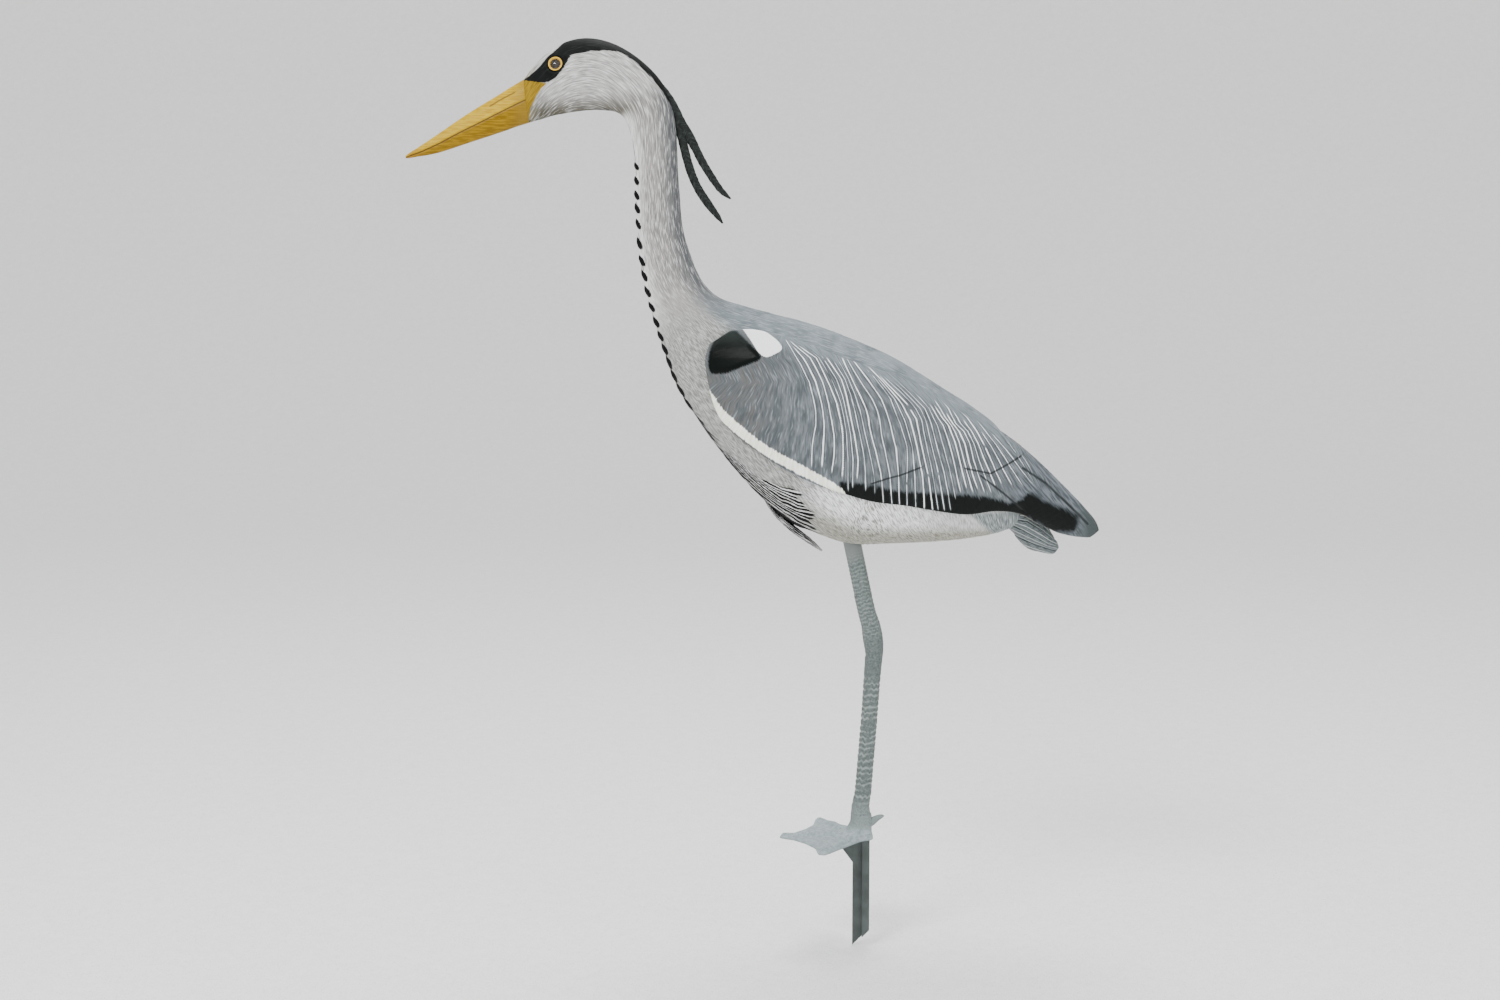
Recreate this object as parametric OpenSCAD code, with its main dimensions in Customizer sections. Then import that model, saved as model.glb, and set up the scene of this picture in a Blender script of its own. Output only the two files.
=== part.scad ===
// Full-body wading-bird decoy that stands on one leg, with a ground stake under its foot.
// Millimetres, +Z up, bill towards -X. The bird's left side faces -Y.
// The origin lies on the stake's axis, level with the underside of the heel.

/* [Body] */
// Wall thickness of the two moulded body shells
wall = 2.4; // [1.8:0.1:3]
// Half-width of the trunk at its widest
trunk_half_w = 73; // [64:1:80]
// Half-width of the neck
neck_half_w = 17; // [15:0.5:19]
// Half-width of the head
head_half_w = 21; // [19:0.5:23]

/* [Wings] */
// Thickness of a wing cover
wing_t = 3.4; // [2.4:0.2:4.4]
// Gap between a wing cover and the shell under it
wing_gap = 0.8; // [0.7:0.1:1]
// Radius of the pegs that hold a wing cover
peg_r = 3; // [2:0.5:3.5]

/* [Head] */
// Radius of a glass eye with its rim
eye_r = 7.1; // [6:0.1:7.5]
// How far an eye's clear dome stands out of its rim
eye_dome = 2.2; // [1.5:0.1:2.5]

/* [Leg] */
// Lean of the upper leg and its spigot from upright
hip_tilt = 12; // [8:1:14]
// Distance from the knee to the shoulder that carries the body
thigh_len = 124; // [122:1:128]
// Radius of the upper leg
thigh_r = 8.8; // [8:0.1:9]
// Radius of the lower leg
shank_r = 8.4; // [7:0.1:9]
// Radius of the spigot on top of the leg
spigot_r = 6; // [5:0.5:7]
// Length of the spigot
spigot_len = 80; // [60:5:85]

/* [Fits] */
// Radial running clearance between spigot, bush and socket
running = 0.05; // [0.02:0.01:0.1]
// Wall of the bush and of the socket
bush_wall = 2.5; // [2:0.5:3]

/* [Foot and stake] */
// Thickness of the webs between the toes
web_t = 4; // [3:0.5:6]
// Radius of the heel
heel_r = 12; // [11.5:0.5:13]
// Depth of the stake below the foot
stake_len = 112; // [80:1:150]
// Width of the stake's flange
flange_w = 15; // [12:1:20]
// Thickness of the stake's flange
flange_t = 7.5; // [5:0.5:8]
// Depth of the stake's web in front of the flange
web_depth = 9.5; // [7:0.5:12]
// Thickness of the stake's web
stake_web_t = 3; // [2:0.5:4]

/* [Hidden] */
$fn = 48;
skin_steps = 2;   // rings per rib of a skin
arc_steps = 14;   // points round half a body ring
wing_steps = 9;   // points down a wing cover

knee = [10, 0, 202];
ankle = [-1, 0, 34];
eye_at = [-303, 14.4, 776];
socket_plate_t = 3;
socket_plate_from = [-20, -26];  // corners of the plate in the spigot's frame
socket_plate_to = [30, 26];
screw_x = [-14, 24];
screw_y = 20;
screw_r = 1.5;
seat = thigh_len + 3;            // height of the bush's flange along the spigot
bush_r = spigot_r + running + bush_wall;
bore_r = bush_r + running;
socket_r = bore_r + bush_wall;
key = [3, 1.2];                  // width and depth of the two keys on the bush
leg_hole_r = 12.2;               // opening in the belly
gusset_reach = 28;               // gusset between the stake's web and the foot
gusset_drop = 25;
tenon_r = 6;                     // bottom end of the leg, in the foot
stub_r = 4;                      // top end of the stake, in the foot
tenon_floor = 10;                // where the tenon ends and the stub begins
foot_top = 22;                   // top of the heel

// Ribs of the skin: [back x, back z, front x, front z, share of the half-width].
head_ribs = [
    [-335, 762, -330, 720, 0.52],
    [-324, 776, -319, 723, 0.68],
    [-308, 790, -305, 727, 0.84],
    [-289, 799, -288, 730, 0.95],
    [-268, 801, -271, 732, 1.00],
    [-245, 795, -258, 732, 1.00],
    [-222, 781, -248, 731, 0.96],
    [-202, 761, -241, 728, 0.89]
];
neck_ribs = [
    [-190, 737, -235, 721, 1.05],
    [-186, 709, -230, 704, 1.00],
    [-185, 682, -227, 682, 0.98],
    [-183, 650, -227, 653, 0.97],
    [-180, 618, -226, 625, 0.97],
    [-173, 592, -224, 596, 1.00],
    [-162, 567, -218, 560, 1.05],
    [-144, 549, -210, 530, 1.22]
];
trunk_ribs = [
    [-116, 540, -199, 496, 0.36],
    [ -90, 533, -186, 462, 0.47],
    [ -60, 525, -159, 418, 0.62],
    [ -30, 515, -123, 372, 0.78],
    [   0, 503,  -80, 330, 0.90],
    [  30, 489,  -49, 315, 0.97],
    [  58, 472,  -19, 305, 1.00],
    [  85, 455,   16, 304, 0.98],
    [ 110, 439,   50, 305, 0.93],
    [ 132, 421,   82, 307, 0.84],
    [ 147, 397,  108, 310, 0.71],
    [ 158, 372,  130, 314, 0.55],
    [ 164, 350,  144, 319, 0.43]
];
// Bill and tail go on from the first and last ribs.
bill_ribs = [
    [-360, 747, -357, 711, 0.41],
    [-390, 729, -388, 701, 0.31],
    [-420, 709, -419, 691, 0.20],
    [-440, 696, -440, 687, 0.11],
    [-452, 688, -452, 685, 0.04]
];
tail_ribs = [
    [176, 331, 162, 300, 0.30],
    [187, 315, 177, 295, 0.21],
    [194, 303, 187, 293, 0.12]
];
// Share of each trunk rib, from back to front, where a wing cover starts and ends.
wing_share = [
    [0.36, 0.62], [0.17, 0.82], [0.13, 0.79], [0.10, 0.73], [0.08, 0.715],
    [0.06, 0.70], [0.05, 0.69], [0.04, 0.70], [0.04, 0.70]
];
wing_front = [-97, 535, -190, 472, 0.43, 0.50, 0.62];
// Ribs of the wing tip behind the trunk, each with its start and end share.
wing_tip = [
    [154, 403, 114, 318, 0.73, 0.03, 0.72],
    [175, 384, 142, 320, 0.60, 0.03, 0.76],
    [197, 362, 166, 318, 0.45, 0.03, 0.80],
    [217, 341, 190, 314, 0.29, 0.03, 0.84],
    [230, 326, 212, 312, 0.16, 0.05, 0.88],
    [235, 318, 225, 312, 0.08, 0.15, 0.85]
];
// Places of the pegs on a wing cover: [trunk rib, angle from the back].
pegs = [[3, 85], [6, 80], [9, 85]];

// Plumes: [x, y, z, half-width, half-thickness].
crest_long = [
    [-190, 0, 729, 3, 2],
    [-181, 0, 717, 5, 2.2],
    [-173, 0, 708, 5, 2.4],
    [-167, 0, 697, 4.5, 2.4],
    [-161, 0, 684, 4.2, 2.2],
    [-153, 0, 669, 4, 2],
    [-143, 0, 655, 3.4, 1.8],
    [-133, 0, 646, 0.8, 0.8]
];
crest_short = [
    [-190, 0, 729, 3, 2],
    [-182, 0, 714, 4.4, 2.2],
    [-179.5, 0, 703, 4.4, 2.4],
    [-176, 0, 686, 4.4, 2.4],
    [-171.5, 0, 669, 4.4, 2.2],
    [-164.5, 0, 655, 4.4, 2],
    [-154.5, 0, 640, 4.2, 1.8],
    [-141, 0, 622, 0.8, 0.8]
];
root_gap = 0.3;                  // clearance round a plume's root in the shells
breast_plume = [
    [-99, 0, 348.5, 1.5, 5],
    [-88, 0, 334, 3, 9],
    [-72, 0, 319, 3.5, 8],
    [-56, 0, 307, 3, 5],
    [-42, 0, 296, 1, 1]
];

// Half of the foot's outline, from the heel round the side toe to the middle toe.
foot_half = [
    [9, 9], [-4, 16], [-38, 64], [-42, 65.5], [-46, 63],
    [-49, 43], [-58, 25], [-71, 9], [-80, 4.5], [-83, 2], [-83, 0], [0, 0]
];
toe_tips = [[-42, -61], [-79, 0], [-42, 61]];

shell_color = [0.78, 0.78, 0.77];
wing_color = [0.52, 0.54, 0.55];
plume_color = [0.12, 0.14, 0.14];
leg_color = [0.56, 0.60, 0.60];

// --- Curves and skins ---

function unit(v) = v / norm(v);

// Catmull-Rom blend between p1 and p2.
function blend(p0, p1, p2, p3, t) =
    0.5 * (2 * p1 + (p2 - p0) * t + (2 * p0 - 5 * p1 + 4 * p2 - p3) * t * t
        + (3 * p1 - p0 - 3 * p2 + p3) * t * t * t);

// A list of rows with more rows blended in between.
function smooth(rows, steps = skin_steps) =
    let (last = len(rows) - 1)
    [
        for (i = [0 : last - 1], k = [0 : steps - 1])
            blend(rows[max(i - 1, 0)], rows[i], rows[i + 1], rows[min(i + 2, last)], k / steps),
        rows[last]
    ];

// Rib rows with the share of the half-width turned into millimetres.
function sized(rows, half_w) = [
    for (r = rows) [for (k = [0 : len(r) - 1]) k == 4 ? r[k] * half_w : r[k]]
];

// Point on a rib's oval, pushed out by grow; the angle is 0 at the back and 180 in front.
function rib_point(rib, angle, grow) =
    let (
        back = [rib[0], rib[1]],
        front = [rib[2], rib[3]],
        mid = (back + front) / 2,
        reach = (norm(back - front) / 2 + grow) * cos(angle),
        up = unit(back - front)
    )
    [mid[0] + up[0] * reach, (rib[4] + grow) * sin(angle), mid[1] + up[1] * reach];

// Closed ring of an oval strip between two angles, from one growth out to another.
function strip_ring(rib, from, to, steps, inner, outer) = concat(
    [for (k = [0 : steps]) rib_point(rib, from + (to - from) * k / steps, outer)],
    [for (k = [steps : -1 : 0]) rib_point(rib, from + (to - from) * k / steps, inner)]
);

function oval_ring(rib, grow, count = 24) = [
    for (k = [0 : count - 1]) rib_point(rib, 360 * k / count, grow)
];

// Angle at a share of the way from a rib's back point to its front point.
function share_angle(share) = acos(1 - 2 * share);

function quad(a, b, c, d) = [[a, b, c], [a, c, d]];

// Solid through rings that all have the same even number of points.
module skin(rings) {
    n = len(rings[0]);
    end = (len(rings) - 1) * n;
    sides = [
        for (base = [0 : n : end - n], j = [0 : n - 1])
            let (k = (j + 1) % n)
            each quad(base + j, base + k, base + n + k, base + n + j)
    ];
    first_cap = [
        for (j = [0 : n / 2 - 2]) each quad(j + 1, j, n - 1 - j, n - 2 - j)
    ];
    last_cap = [
        for (j = [0 : n / 2 - 2])
            each quad(end + j, end + j + 1, end + n - 2 - j, end + n - 1 - j)
    ];
    polyhedron([for (r = rings) each r], concat(sides, first_cap, last_cap), 10);
}

function plume_ring(rows, i, grow) =
    let (
        a = rows[max(i - 1, 0)],
        b = rows[min(i + 1, len(rows) - 1)],
        run = unit([b[0] - a[0], b[2] - a[2]]),
        c = rows[i]
    )
    [
        for (k = [0 : 7])
            let (w = (c[3] + grow) * cos(45 * k), t = (c[4] + grow) * sin(45 * k))
            [c[0] - run[1] * w, c[1] + t, c[2] + run[0] * w]
    ];

module plume(rows, grow = 0) {
    fine = smooth(rows);
    skin([for (i = [0 : len(fine) - 1]) plume_ring(fine, i, grow)]);
}

ribs = concat(
    sized(head_ribs, head_half_w),
    sized(neck_ribs, neck_half_w),
    sized(trunk_ribs, trunk_half_w)
);
trunk = sized(trunk_ribs, trunk_half_w);
wing_ribs = sized(
    concat(
        [wing_front],
        [for (k = [0 : len(wing_share) - 1]) concat(trunk_ribs[k + 1], wing_share[k])],
        wing_tip
    ),
    trunk_half_w
);

// --- Placing ---

// The spigot's own frame: origin at the knee, +Z up along the spigot.
module on_spigot() {
    translate(knee) rotate([0, -hip_tilt, 0]) children();
}

// The mirrored twin of a right-hand piece.
module left_hand() {
    mirror([0, 1, 0]) children();
}

module along_y(at) {
    translate(at) rotate([-90, 0, 0]) children();
}

// --- Body ---

module half_skin() {
    skin([for (r = smooth(ribs)) strip_ring(r, 0, 180, arc_steps, -wall, 0)]);
}

// Solid lower trunk of one half, just inside the outer surface, to trim the bosses.
module belly_core() {
    skin([
        for (r = smooth([for (k = [3 : 8]) trunk[k]]))
            strip_ring(r, 0, 180, arc_steps, 1 - r[4], -0.8)
    ]);
}

module bosses() {
    intersection() {
        on_spigot()
            for (x = screw_x) translate([x, screw_y, seat - 24]) cylinder(r = 4, h = 24);
        belly_core();
    }
}

module screw_holes() {
    on_spigot()
        for (x = screw_x)
            translate([x, screw_y, seat - 9]) cylinder(r = screw_r + running, h = 12);
}

module peg_at(peg, radius, depth) {
    at = rib_point(trunk[peg[0]], peg[1], wing_gap + 0.6);
    translate(at) rotate([90, 0, 0]) cylinder(r = radius, h = depth);
}

module root_cuts() {
    for (rows = [crest_long, crest_short, breast_plume]) plume(rows, root_gap);
}

module body_shell() {
    difference() {
        union() {
            half_skin();
            bosses();
        }
        on_spigot() translate([0, 0, thigh_len - 40]) cylinder(r = leg_hole_r, h = 50);
        screw_holes();
        along_y([eye_at[0], 4, eye_at[2]]) cylinder(r = eye_r + running, h = 30);
        for (p = pegs) peg_at(p, peg_r + running, 14);
        root_cuts();
    }
}

module right_body_shell() {
    color(shell_color) body_shell();
}

module left_body_shell() {
    color(shell_color) left_hand() body_shell();
}

module wing() {
    skin([
        for (r = smooth(wing_ribs))
            strip_ring(r, share_angle(r[5]), share_angle(r[6]), wing_steps,
                wing_gap, wing_gap + wing_t)
    ]);
    for (p = pegs) peg_at(p, peg_r, 10);
}

module right_wing() {
    color(wing_color) wing();
}

module left_wing() {
    color(wing_color) left_hand() wing();
}

// Rib a given way into the shell from one of its open ends, for a plug.
function plug_rib(end, next, way) = end + (next - end) * way;

module tail() {
    last = len(trunk) - 1;
    plug = wall + 0.8;
    color([0.60, 0.63, 0.64])
        skin(concat(
            [
                oval_ring(plug_rib(trunk[last], trunk[last - 1], 0.6), -plug),
                oval_ring(trunk[last], -plug)
            ],
            [for (r = smooth(concat([trunk[last]], sized(tail_ribs, trunk_half_w)))) oval_ring(r, 0)]
        ));
}

module bill() {
    plug = wall + 0.8;
    color([0.76, 0.62, 0.24])
        skin(concat(
            [for (k = [len(bill_ribs) : -1 : 1])
                oval_ring(sized(bill_ribs, head_half_w)[k - 1], 0)],
            [
                oval_ring(ribs[0], 0),
                oval_ring(ribs[0], -plug),
                oval_ring(plug_rib(ribs[0], ribs[1], 0.9), -plug)
            ]
        ));
}

// --- Eyes ---

module eye() {
    along_y([eye_at[0], eye_at[1] - 5, eye_at[2]])
        rotate_extrude()
            polygon([[0, 0], [eye_r, 0], [eye_r, 5.4], [eye_r - 1, 6], [eye_r - 1.6, 5], [0, 5]]);
}

module eye_dome_piece() {
    dome_r = eye_r - 1.7;
    ball_r = (dome_r * dome_r + eye_dome * eye_dome) / (2 * eye_dome);
    along_y([eye_at[0], eye_at[1], eye_at[2]])
        rotate_extrude()
            intersection() {
                translate([0, eye_dome - ball_r]) circle(r = ball_r, $fn = 96);
                square([dome_r, eye_dome + 1]);
            }
}

module right_eye() {
    color([0.88, 0.66, 0.18]) eye();
}

module left_eye() {
    color([0.88, 0.66, 0.18]) left_hand() eye();
}

module right_eye_dome() {
    color([0.9, 0.95, 1, 0.4]) eye_dome_piece();
}

module left_eye_dome() {
    color([0.9, 0.95, 1, 0.4]) left_hand() eye_dome_piece();
}

// --- Plumes ---

module crest_plumes() {
    color(plume_color) {
        plume(crest_long);
        plume(crest_short);
    }
}

module breast_plumes() {
    color(plume_color) plume(breast_plume);
}

// --- Leg socket, bush and leg ---

module keys(grow, height) {
    for (a = [0, 180])
        rotate([0, 0, a])
            translate([bush_r - 1, -key[0] / 2 - grow, 0])
                cube([key[1] + 1 + grow, key[0] + 2 * grow, height]);
}

module leg_socket() {
    depth = spigot_len - 1;
    color([0.30, 0.32, 0.33])
        on_spigot()
            translate([0, 0, seat + running])
                difference() {
                    union() {
                        cylinder(r = socket_r + 1, h = depth + 3);
                        linear_extrude(socket_plate_t)
                            translate(socket_plate_from)
                                square(socket_plate_to - socket_plate_from);
                    }
                    translate([0, 0, -1]) cylinder(r = bore_r, h = depth + 1);
                    translate([0, 0, -1]) keys(0.1, depth + 1);
                    for (x = screw_x, y = [-screw_y, screw_y])
                        translate([x, y, -1]) cylinder(r = screw_r + 0.2, h = 6);
                }
}

module socket_screws() {
    color([0.7, 0.7, 0.7])
        on_spigot()
            for (x = screw_x, y = [-screw_y, screw_y])
                translate([x, y, seat + running + socket_plate_t]) {
                    cylinder(r = 3.2, h = 2);
                    translate([0, 0, -11]) cylinder(r = screw_r, h = 11.5);
                }
}

module leg_bush() {
    color([0.85, 0.83, 0.76])
        on_spigot()
            difference() {
                union() {
                    translate([0, 0, thigh_len + running]) cylinder(r = bush_r + 2.4, h = 3 - running);
                    translate([0, 0, thigh_len + 1]) cylinder(r = bush_r, h = spigot_len - 6);
                    translate([0, 0, thigh_len + 2]) keys(0, spigot_len - 7);
                }
                translate([0, 0, thigh_len - 1]) cylinder(r = spigot_r + running, h = spigot_len + 2);
            }
}

module leg() {
    shank = knee - ankle;
    lean = atan2(shank[0], shank[2]);
    color(leg_color) {
        on_spigot() {
            cylinder(r1 = thigh_r + 0.2, r2 = thigh_r, h = thigh_len);
            translate([0, 0, thigh_len - 1]) cylinder(r = spigot_r, h = spigot_len - 1);
            translate([0, 0, thigh_len + spigot_len - 2])
                cylinder(r1 = spigot_r, r2 = spigot_r - 2, h = 2);
        }
        translate(knee) sphere(r = thigh_r + 1.2);
        translate(ankle) rotate([0, lean, 0]) {
            cylinder(r = shank_r, h = norm(shank));
            sphere(r = shank_r);
        }
        translate([0, 0, foot_top]) cylinder(r1 = heel_r - 1, r2 = shank_r - 1, h = 14);
        translate([0, 0, tenon_floor + 0.1]) cylinder(r = tenon_r, h = foot_top - tenon_floor + 2);
    }
}

module toe(tip) {
    hull() {
        translate([-4, 0, 6.5]) sphere(r = 5.5, $fn = 32);
        translate([tip[0], tip[1], 3]) sphere(r = 2.8, $fn = 32);
    }
}

module foot() {
    color([0.64, 0.69, 0.69])
        difference() {
            union() {
                linear_extrude(web_t) {
                    polygon(foot_half);
                    mirror([0, 1]) polygon(foot_half);
                }
                for (tip = toe_tips) toe(tip);
                cylinder(r = heel_r, h = foot_top);
                hull() {
                    translate([8.5, 0, 16.5]) sphere(r = 4.5, $fn = 32);
                    translate([20, 0, 22.5]) sphere(r = 1.8, $fn = 32);
                }
            }
            translate([0, 0, -1]) cylinder(r = stub_r + running, h = tenon_floor + 2);
            translate([0, 0, tenon_floor]) cylinder(r = tenon_r + running, h = foot_top);
            translate([0, 0, -20]) cube([300, 300, 40], center = true);
        }
}

// Plate in the XZ plane, centred on it.
module upright_plate(thickness, outline) {
    translate([0, thickness / 2, 0]) rotate([90, 0, 0]) linear_extrude(thickness) polygon(outline);
}

module stake() {
    web_start = [-web_depth, -stake_len];
    color([0.42, 0.47, 0.45]) {
        upright_plate(flange_w, [
            [0, 0], [flange_t, 0],
            [flange_t, flange_t + web_depth - stake_len], [0, web_depth - stake_len]
        ]);
        upright_plate(stake_web_t, [
            web_start, [1, web_depth + 1 - stake_len], [1, 0],
            [-gusset_reach, 0], [-web_depth, -gusset_drop]
        ]);
        translate([0, 0, -1]) cylinder(r = stub_r, h = tenon_floor + 0.9);
    }
}

left_body_shell();
right_body_shell();
left_wing();
right_wing();
tail();
bill();
left_eye();
right_eye();
left_eye_dome();
right_eye_dome();
crest_plumes();
breast_plumes();
leg_socket();
socket_screws();
leg_bush();
leg();
foot();
stake();
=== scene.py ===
"""Grey heron decoy: detailed visual pieces over the CAD nodes, painted with procedural nodes."""

import math

import bpy
import numpy as np
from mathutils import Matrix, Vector


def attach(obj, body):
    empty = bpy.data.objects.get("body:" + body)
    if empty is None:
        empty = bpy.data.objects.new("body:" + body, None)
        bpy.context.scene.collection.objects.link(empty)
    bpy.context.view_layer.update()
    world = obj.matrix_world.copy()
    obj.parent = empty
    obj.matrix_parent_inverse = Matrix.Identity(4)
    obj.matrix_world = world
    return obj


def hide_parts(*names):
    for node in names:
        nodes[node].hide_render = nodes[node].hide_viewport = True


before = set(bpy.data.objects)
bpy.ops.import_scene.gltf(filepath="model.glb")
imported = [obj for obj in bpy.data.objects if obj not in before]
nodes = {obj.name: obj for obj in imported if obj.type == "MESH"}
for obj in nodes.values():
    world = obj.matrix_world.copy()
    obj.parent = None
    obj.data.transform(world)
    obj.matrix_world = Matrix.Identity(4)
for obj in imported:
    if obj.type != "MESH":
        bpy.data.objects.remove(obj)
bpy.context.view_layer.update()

MM = 0.001

# --- Outlines shared with the CAD, in millimetres ---

# Ribs: back x, back z, front x, front z, half width.
HEAD = [
    [-335, 762, -330, 720, 10.9], [-324, 776, -319, 723, 14.3], [-308, 790, -305, 727, 17.6],
    [-289, 799, -288, 730, 20], [-268, 801, -271, 732, 21], [-245, 795, -258, 732, 21],
    [-222, 781, -248, 731, 20.2], [-202, 761, -241, 728, 18.7],
]
NECK = [
    [-190, 737, -235, 721, 17.85], [-186, 709, -230, 704, 17], [-185, 682, -227, 682, 16.7],
    [-183, 650, -227, 653, 16.5], [-180, 618, -226, 625, 16.5], [-173, 592, -224, 596, 17],
    [-162, 567, -218, 560, 17.85], [-144, 549, -210, 530, 20.7],
]
TRUNK = [
    [-116, 540, -199, 496, 26.3], [-90, 533, -186, 462, 34.3], [-60, 525, -159, 418, 45.3],
    [-30, 515, -123, 372, 56.9], [0, 503, -80, 330, 65.7], [30, 489, -49, 315, 70.8],
    [58, 472, -19, 305, 73], [85, 455, 16, 304, 71.5], [110, 439, 50, 305, 67.9],
    [132, 421, 82, 307, 61.3], [147, 397, 108, 310, 51.8], [158, 372, 130, 314, 40.2],
    [164, 350, 144, 319, 31.4],
]
BILL = [
    HEAD[0], [-347, 755, -343, 716, 9.8], [-360, 747, -357, 711, 8.6],
    [-390, 729, -388, 701, 6.5], [-420, 709, -419, 691, 4.2], [-440, 696, -440, 687, 2.3],
    [-449, 690.3, -449, 685.6, 1.2], [-452, 688, -452, 685.6, 0.5],
]
TAIL = [
    [158, 372, 130, 314, 37], TRUNK[-1], [176, 331, 162, 300, 21.9],
    [187, 315, 177, 295, 15.3], [194, 303, 187, 293, 8.8], [195.5, 300, 190.5, 293.5, 5],
]
# Wing ribs add the shares of the way from back to front where the wing begins and ends.
WING_SHARES = [
    (0.21, 0.70), (0.14, 0.84), (0.12, 0.80), (0.10, 0.74), (0.08, 0.72), (0.06, 0.70), (0.05, 0.69),
    (0.04, 0.70), (0.04, 0.70),
]
WING = [[-104, 537, -193, 480, 30.5, 0.33, 0.56]]
WING += [[*rib, *share] for rib, share in zip(TRUNK[1:], WING_SHARES)]
WING += [
    [154, 403, 114, 318, 53.3, 0.03, 0.70], [175, 384, 142, 320, 43.8, 0.03, 0.70],
    [197, 362, 166, 318, 32.9, 0.03, 0.78], [217, 341, 190, 314, 21.2, 0.03, 0.84],
    [230, 326, 212, 312, 11.7, 0.05, 0.88], [235, 318, 225, 312, 5.8, 0.15, 0.85],
]
KNEE = np.array([10.0, 0.0, 202.0])
TILT = math.radians(12)
UP_LEG = np.array([-math.sin(TILT), 0.0, math.cos(TILT)])
EYE = np.array([-303.0, 14.6, 776.0])
EYE_WAY = np.array([-0.10, 0.955, 0.28]) / math.hypot(0.10, 0.955, 0.28)
SHELL_WALL = 2.4
LEG_HOLE_RADIUS = 12.0
LEG_RADIUS = 8.8

# --- Number helpers ---


def through(rows, per=24):
    """Points on a smooth curve through the rows."""
    rows = np.asarray(rows, float)
    ends = np.vstack([rows[:1], rows, rows[-1:]])
    t = (np.arange(per) / per)[:, None]
    out = []
    for i in range(len(rows) - 1):
        a, b, c, d = ends[i:i + 4]
        bend = 2 * a - 5 * b + 4 * c - d
        out.append(0.5 * (2 * b + (c - a) * t + bend * t ** 2 + (3 * b - a - 3 * c + d) * t ** 3))
    return np.vstack(out + [rows[-1:]])


def evenly(rows, step, cols=4):
    """The rows resampled about step apart, and the distance run at each."""
    hop = np.linalg.norm(np.diff(rows[:, :cols], axis=0), axis=1) / math.sqrt(cols / 2)
    run = np.concatenate([[0], np.cumsum(hop)])
    at = np.linspace(0, run[-1], max(2, int(round(run[-1] / step)) + 1))
    return np.stack([np.interp(at, run, rows[:, k]) for k in range(rows.shape[1])], axis=1), at


def soft(x, low, high):
    """0 below low, 1 above high, smooth between."""
    t = np.clip((x - low) / (high - low), 0, 1)
    return t * t * (3 - 2 * t)


def zigzag(x):
    """1 at whole numbers and 0 half way between them."""
    return np.abs(x - np.floor(x) - 0.5) * 2


def held(run, start, end):
    """0 at both ends of a run, rising to 1 over the given lengths."""
    return (soft(run, 0, start) * (1 - soft(run, run[-1] - end, run[-1])))[:, None]


def hump(x, width):
    """1 at x = 0, falling away on both sides."""
    return np.exp(-(x / width) ** 2)


def value_noise(u, v, seed):
    """Smooth random field in 0..1 with one value for each whole step of u and v."""
    wide, high = 97, 89
    grid = np.random.default_rng(seed).random((wide, high))
    iu = np.floor(u).astype(int)
    iv = np.floor(v).astype(int)
    fu = soft(u - iu, 0, 1)
    fv = soft(v - iv, 0, 1)
    a = grid[iu % wide, iv % high]
    b = grid[(iu + 1) % wide, iv % high]
    c = grid[iu % wide, (iv + 1) % high]
    d = grid[(iu + 1) % wide, (iv + 1) % high]
    return (a * (1 - fu) + b * fu) * (1 - fv) + (c * (1 - fu) + d * fu) * fv


def off_segment(x, z, p, q):
    """Distance in mm to the straight stretch from p to q, and the share of it passed."""
    d = q - p
    t = np.clip(((x - p[0]) * d[0] + (z - p[1]) * d[1]) / max(d @ d, 1e-9), 0, 1)
    return np.hypot(x - p[0] - t * d[0], z - p[1] - t * d[1]), t


def area_depth(x, z, outline):
    """Distance in mm to a closed outline, positive inside it."""
    a = np.asarray(outline, float)
    best = np.full(x.shape, 1e9)
    inside = np.zeros(x.shape, bool)
    for p, q in zip(a, np.roll(a, -1, axis=0)):
        d = q - p
        best = np.minimum(best, off_segment(x, z, p, q)[0])
        if p[1] != q[1]:
            hit = ((p[1] > z) != (q[1] > z)) & (x < d[0] * (z - p[1]) / d[1] + p[0])
            inside ^= hit
    return np.where(inside, best, -best)


def rounded(outline, per=6):
    """A closed outline with its corners eased."""
    rows = np.asarray(outline, float)
    wrapped = np.vstack([rows[-2:], rows, rows[:3]])
    return through(wrapped, per)[2 * per:-3 * per]


def below_line(x, z, line):
    """How far each point lies under a line drawn from left to right."""
    line = np.asarray(line, float)
    slope = np.gradient(line[:, 1], line[:, 0])
    tilt = np.interp(x, line[:, 0], slope)
    return (np.interp(x, line[:, 0], line[:, 1]) - z) / np.sqrt(1 + tilt ** 2)


def field_between(curves, numbers, along, across, reach=80):
    """Line number at each point between guide lines, and the mm in one number.

    Each curve is (along, across) pairs; the curves are given in rising order of across."""
    lines = []
    for curve in curves:
        c = np.asarray(curve, float)
        c = c[np.argsort(c[:, 0])]
        low = c[0] - (c[1] - c[0]) * reach / (c[1, 0] - c[0, 0])
        high = c[-1] + (c[-1] - c[-2]) * reach / (c[-1, 0] - c[-2, 0])
        c = np.vstack([low, c, high])
        lines.append(np.interp(along, c[:, 0], c[:, 1]))
    lines = np.array(lines)
    for k in range(1, len(lines)):
        lines[k] = np.maximum(lines[k], lines[k - 1] + 0.8)
    numbers = np.asarray(numbers, float)
    k = np.clip((lines < across).sum(axis=0) - 1, 0, len(curves) - 2)
    low = np.take_along_axis(lines, k[None], 0)[0]
    high = np.take_along_axis(lines, k[None] + 1, 0)[0]
    step = numbers[k + 1] - numbers[k]
    part = (across - low) / (high - low)
    return numbers[k] + part * step, (high - low) / step


# --- Mesh helpers ---


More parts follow.
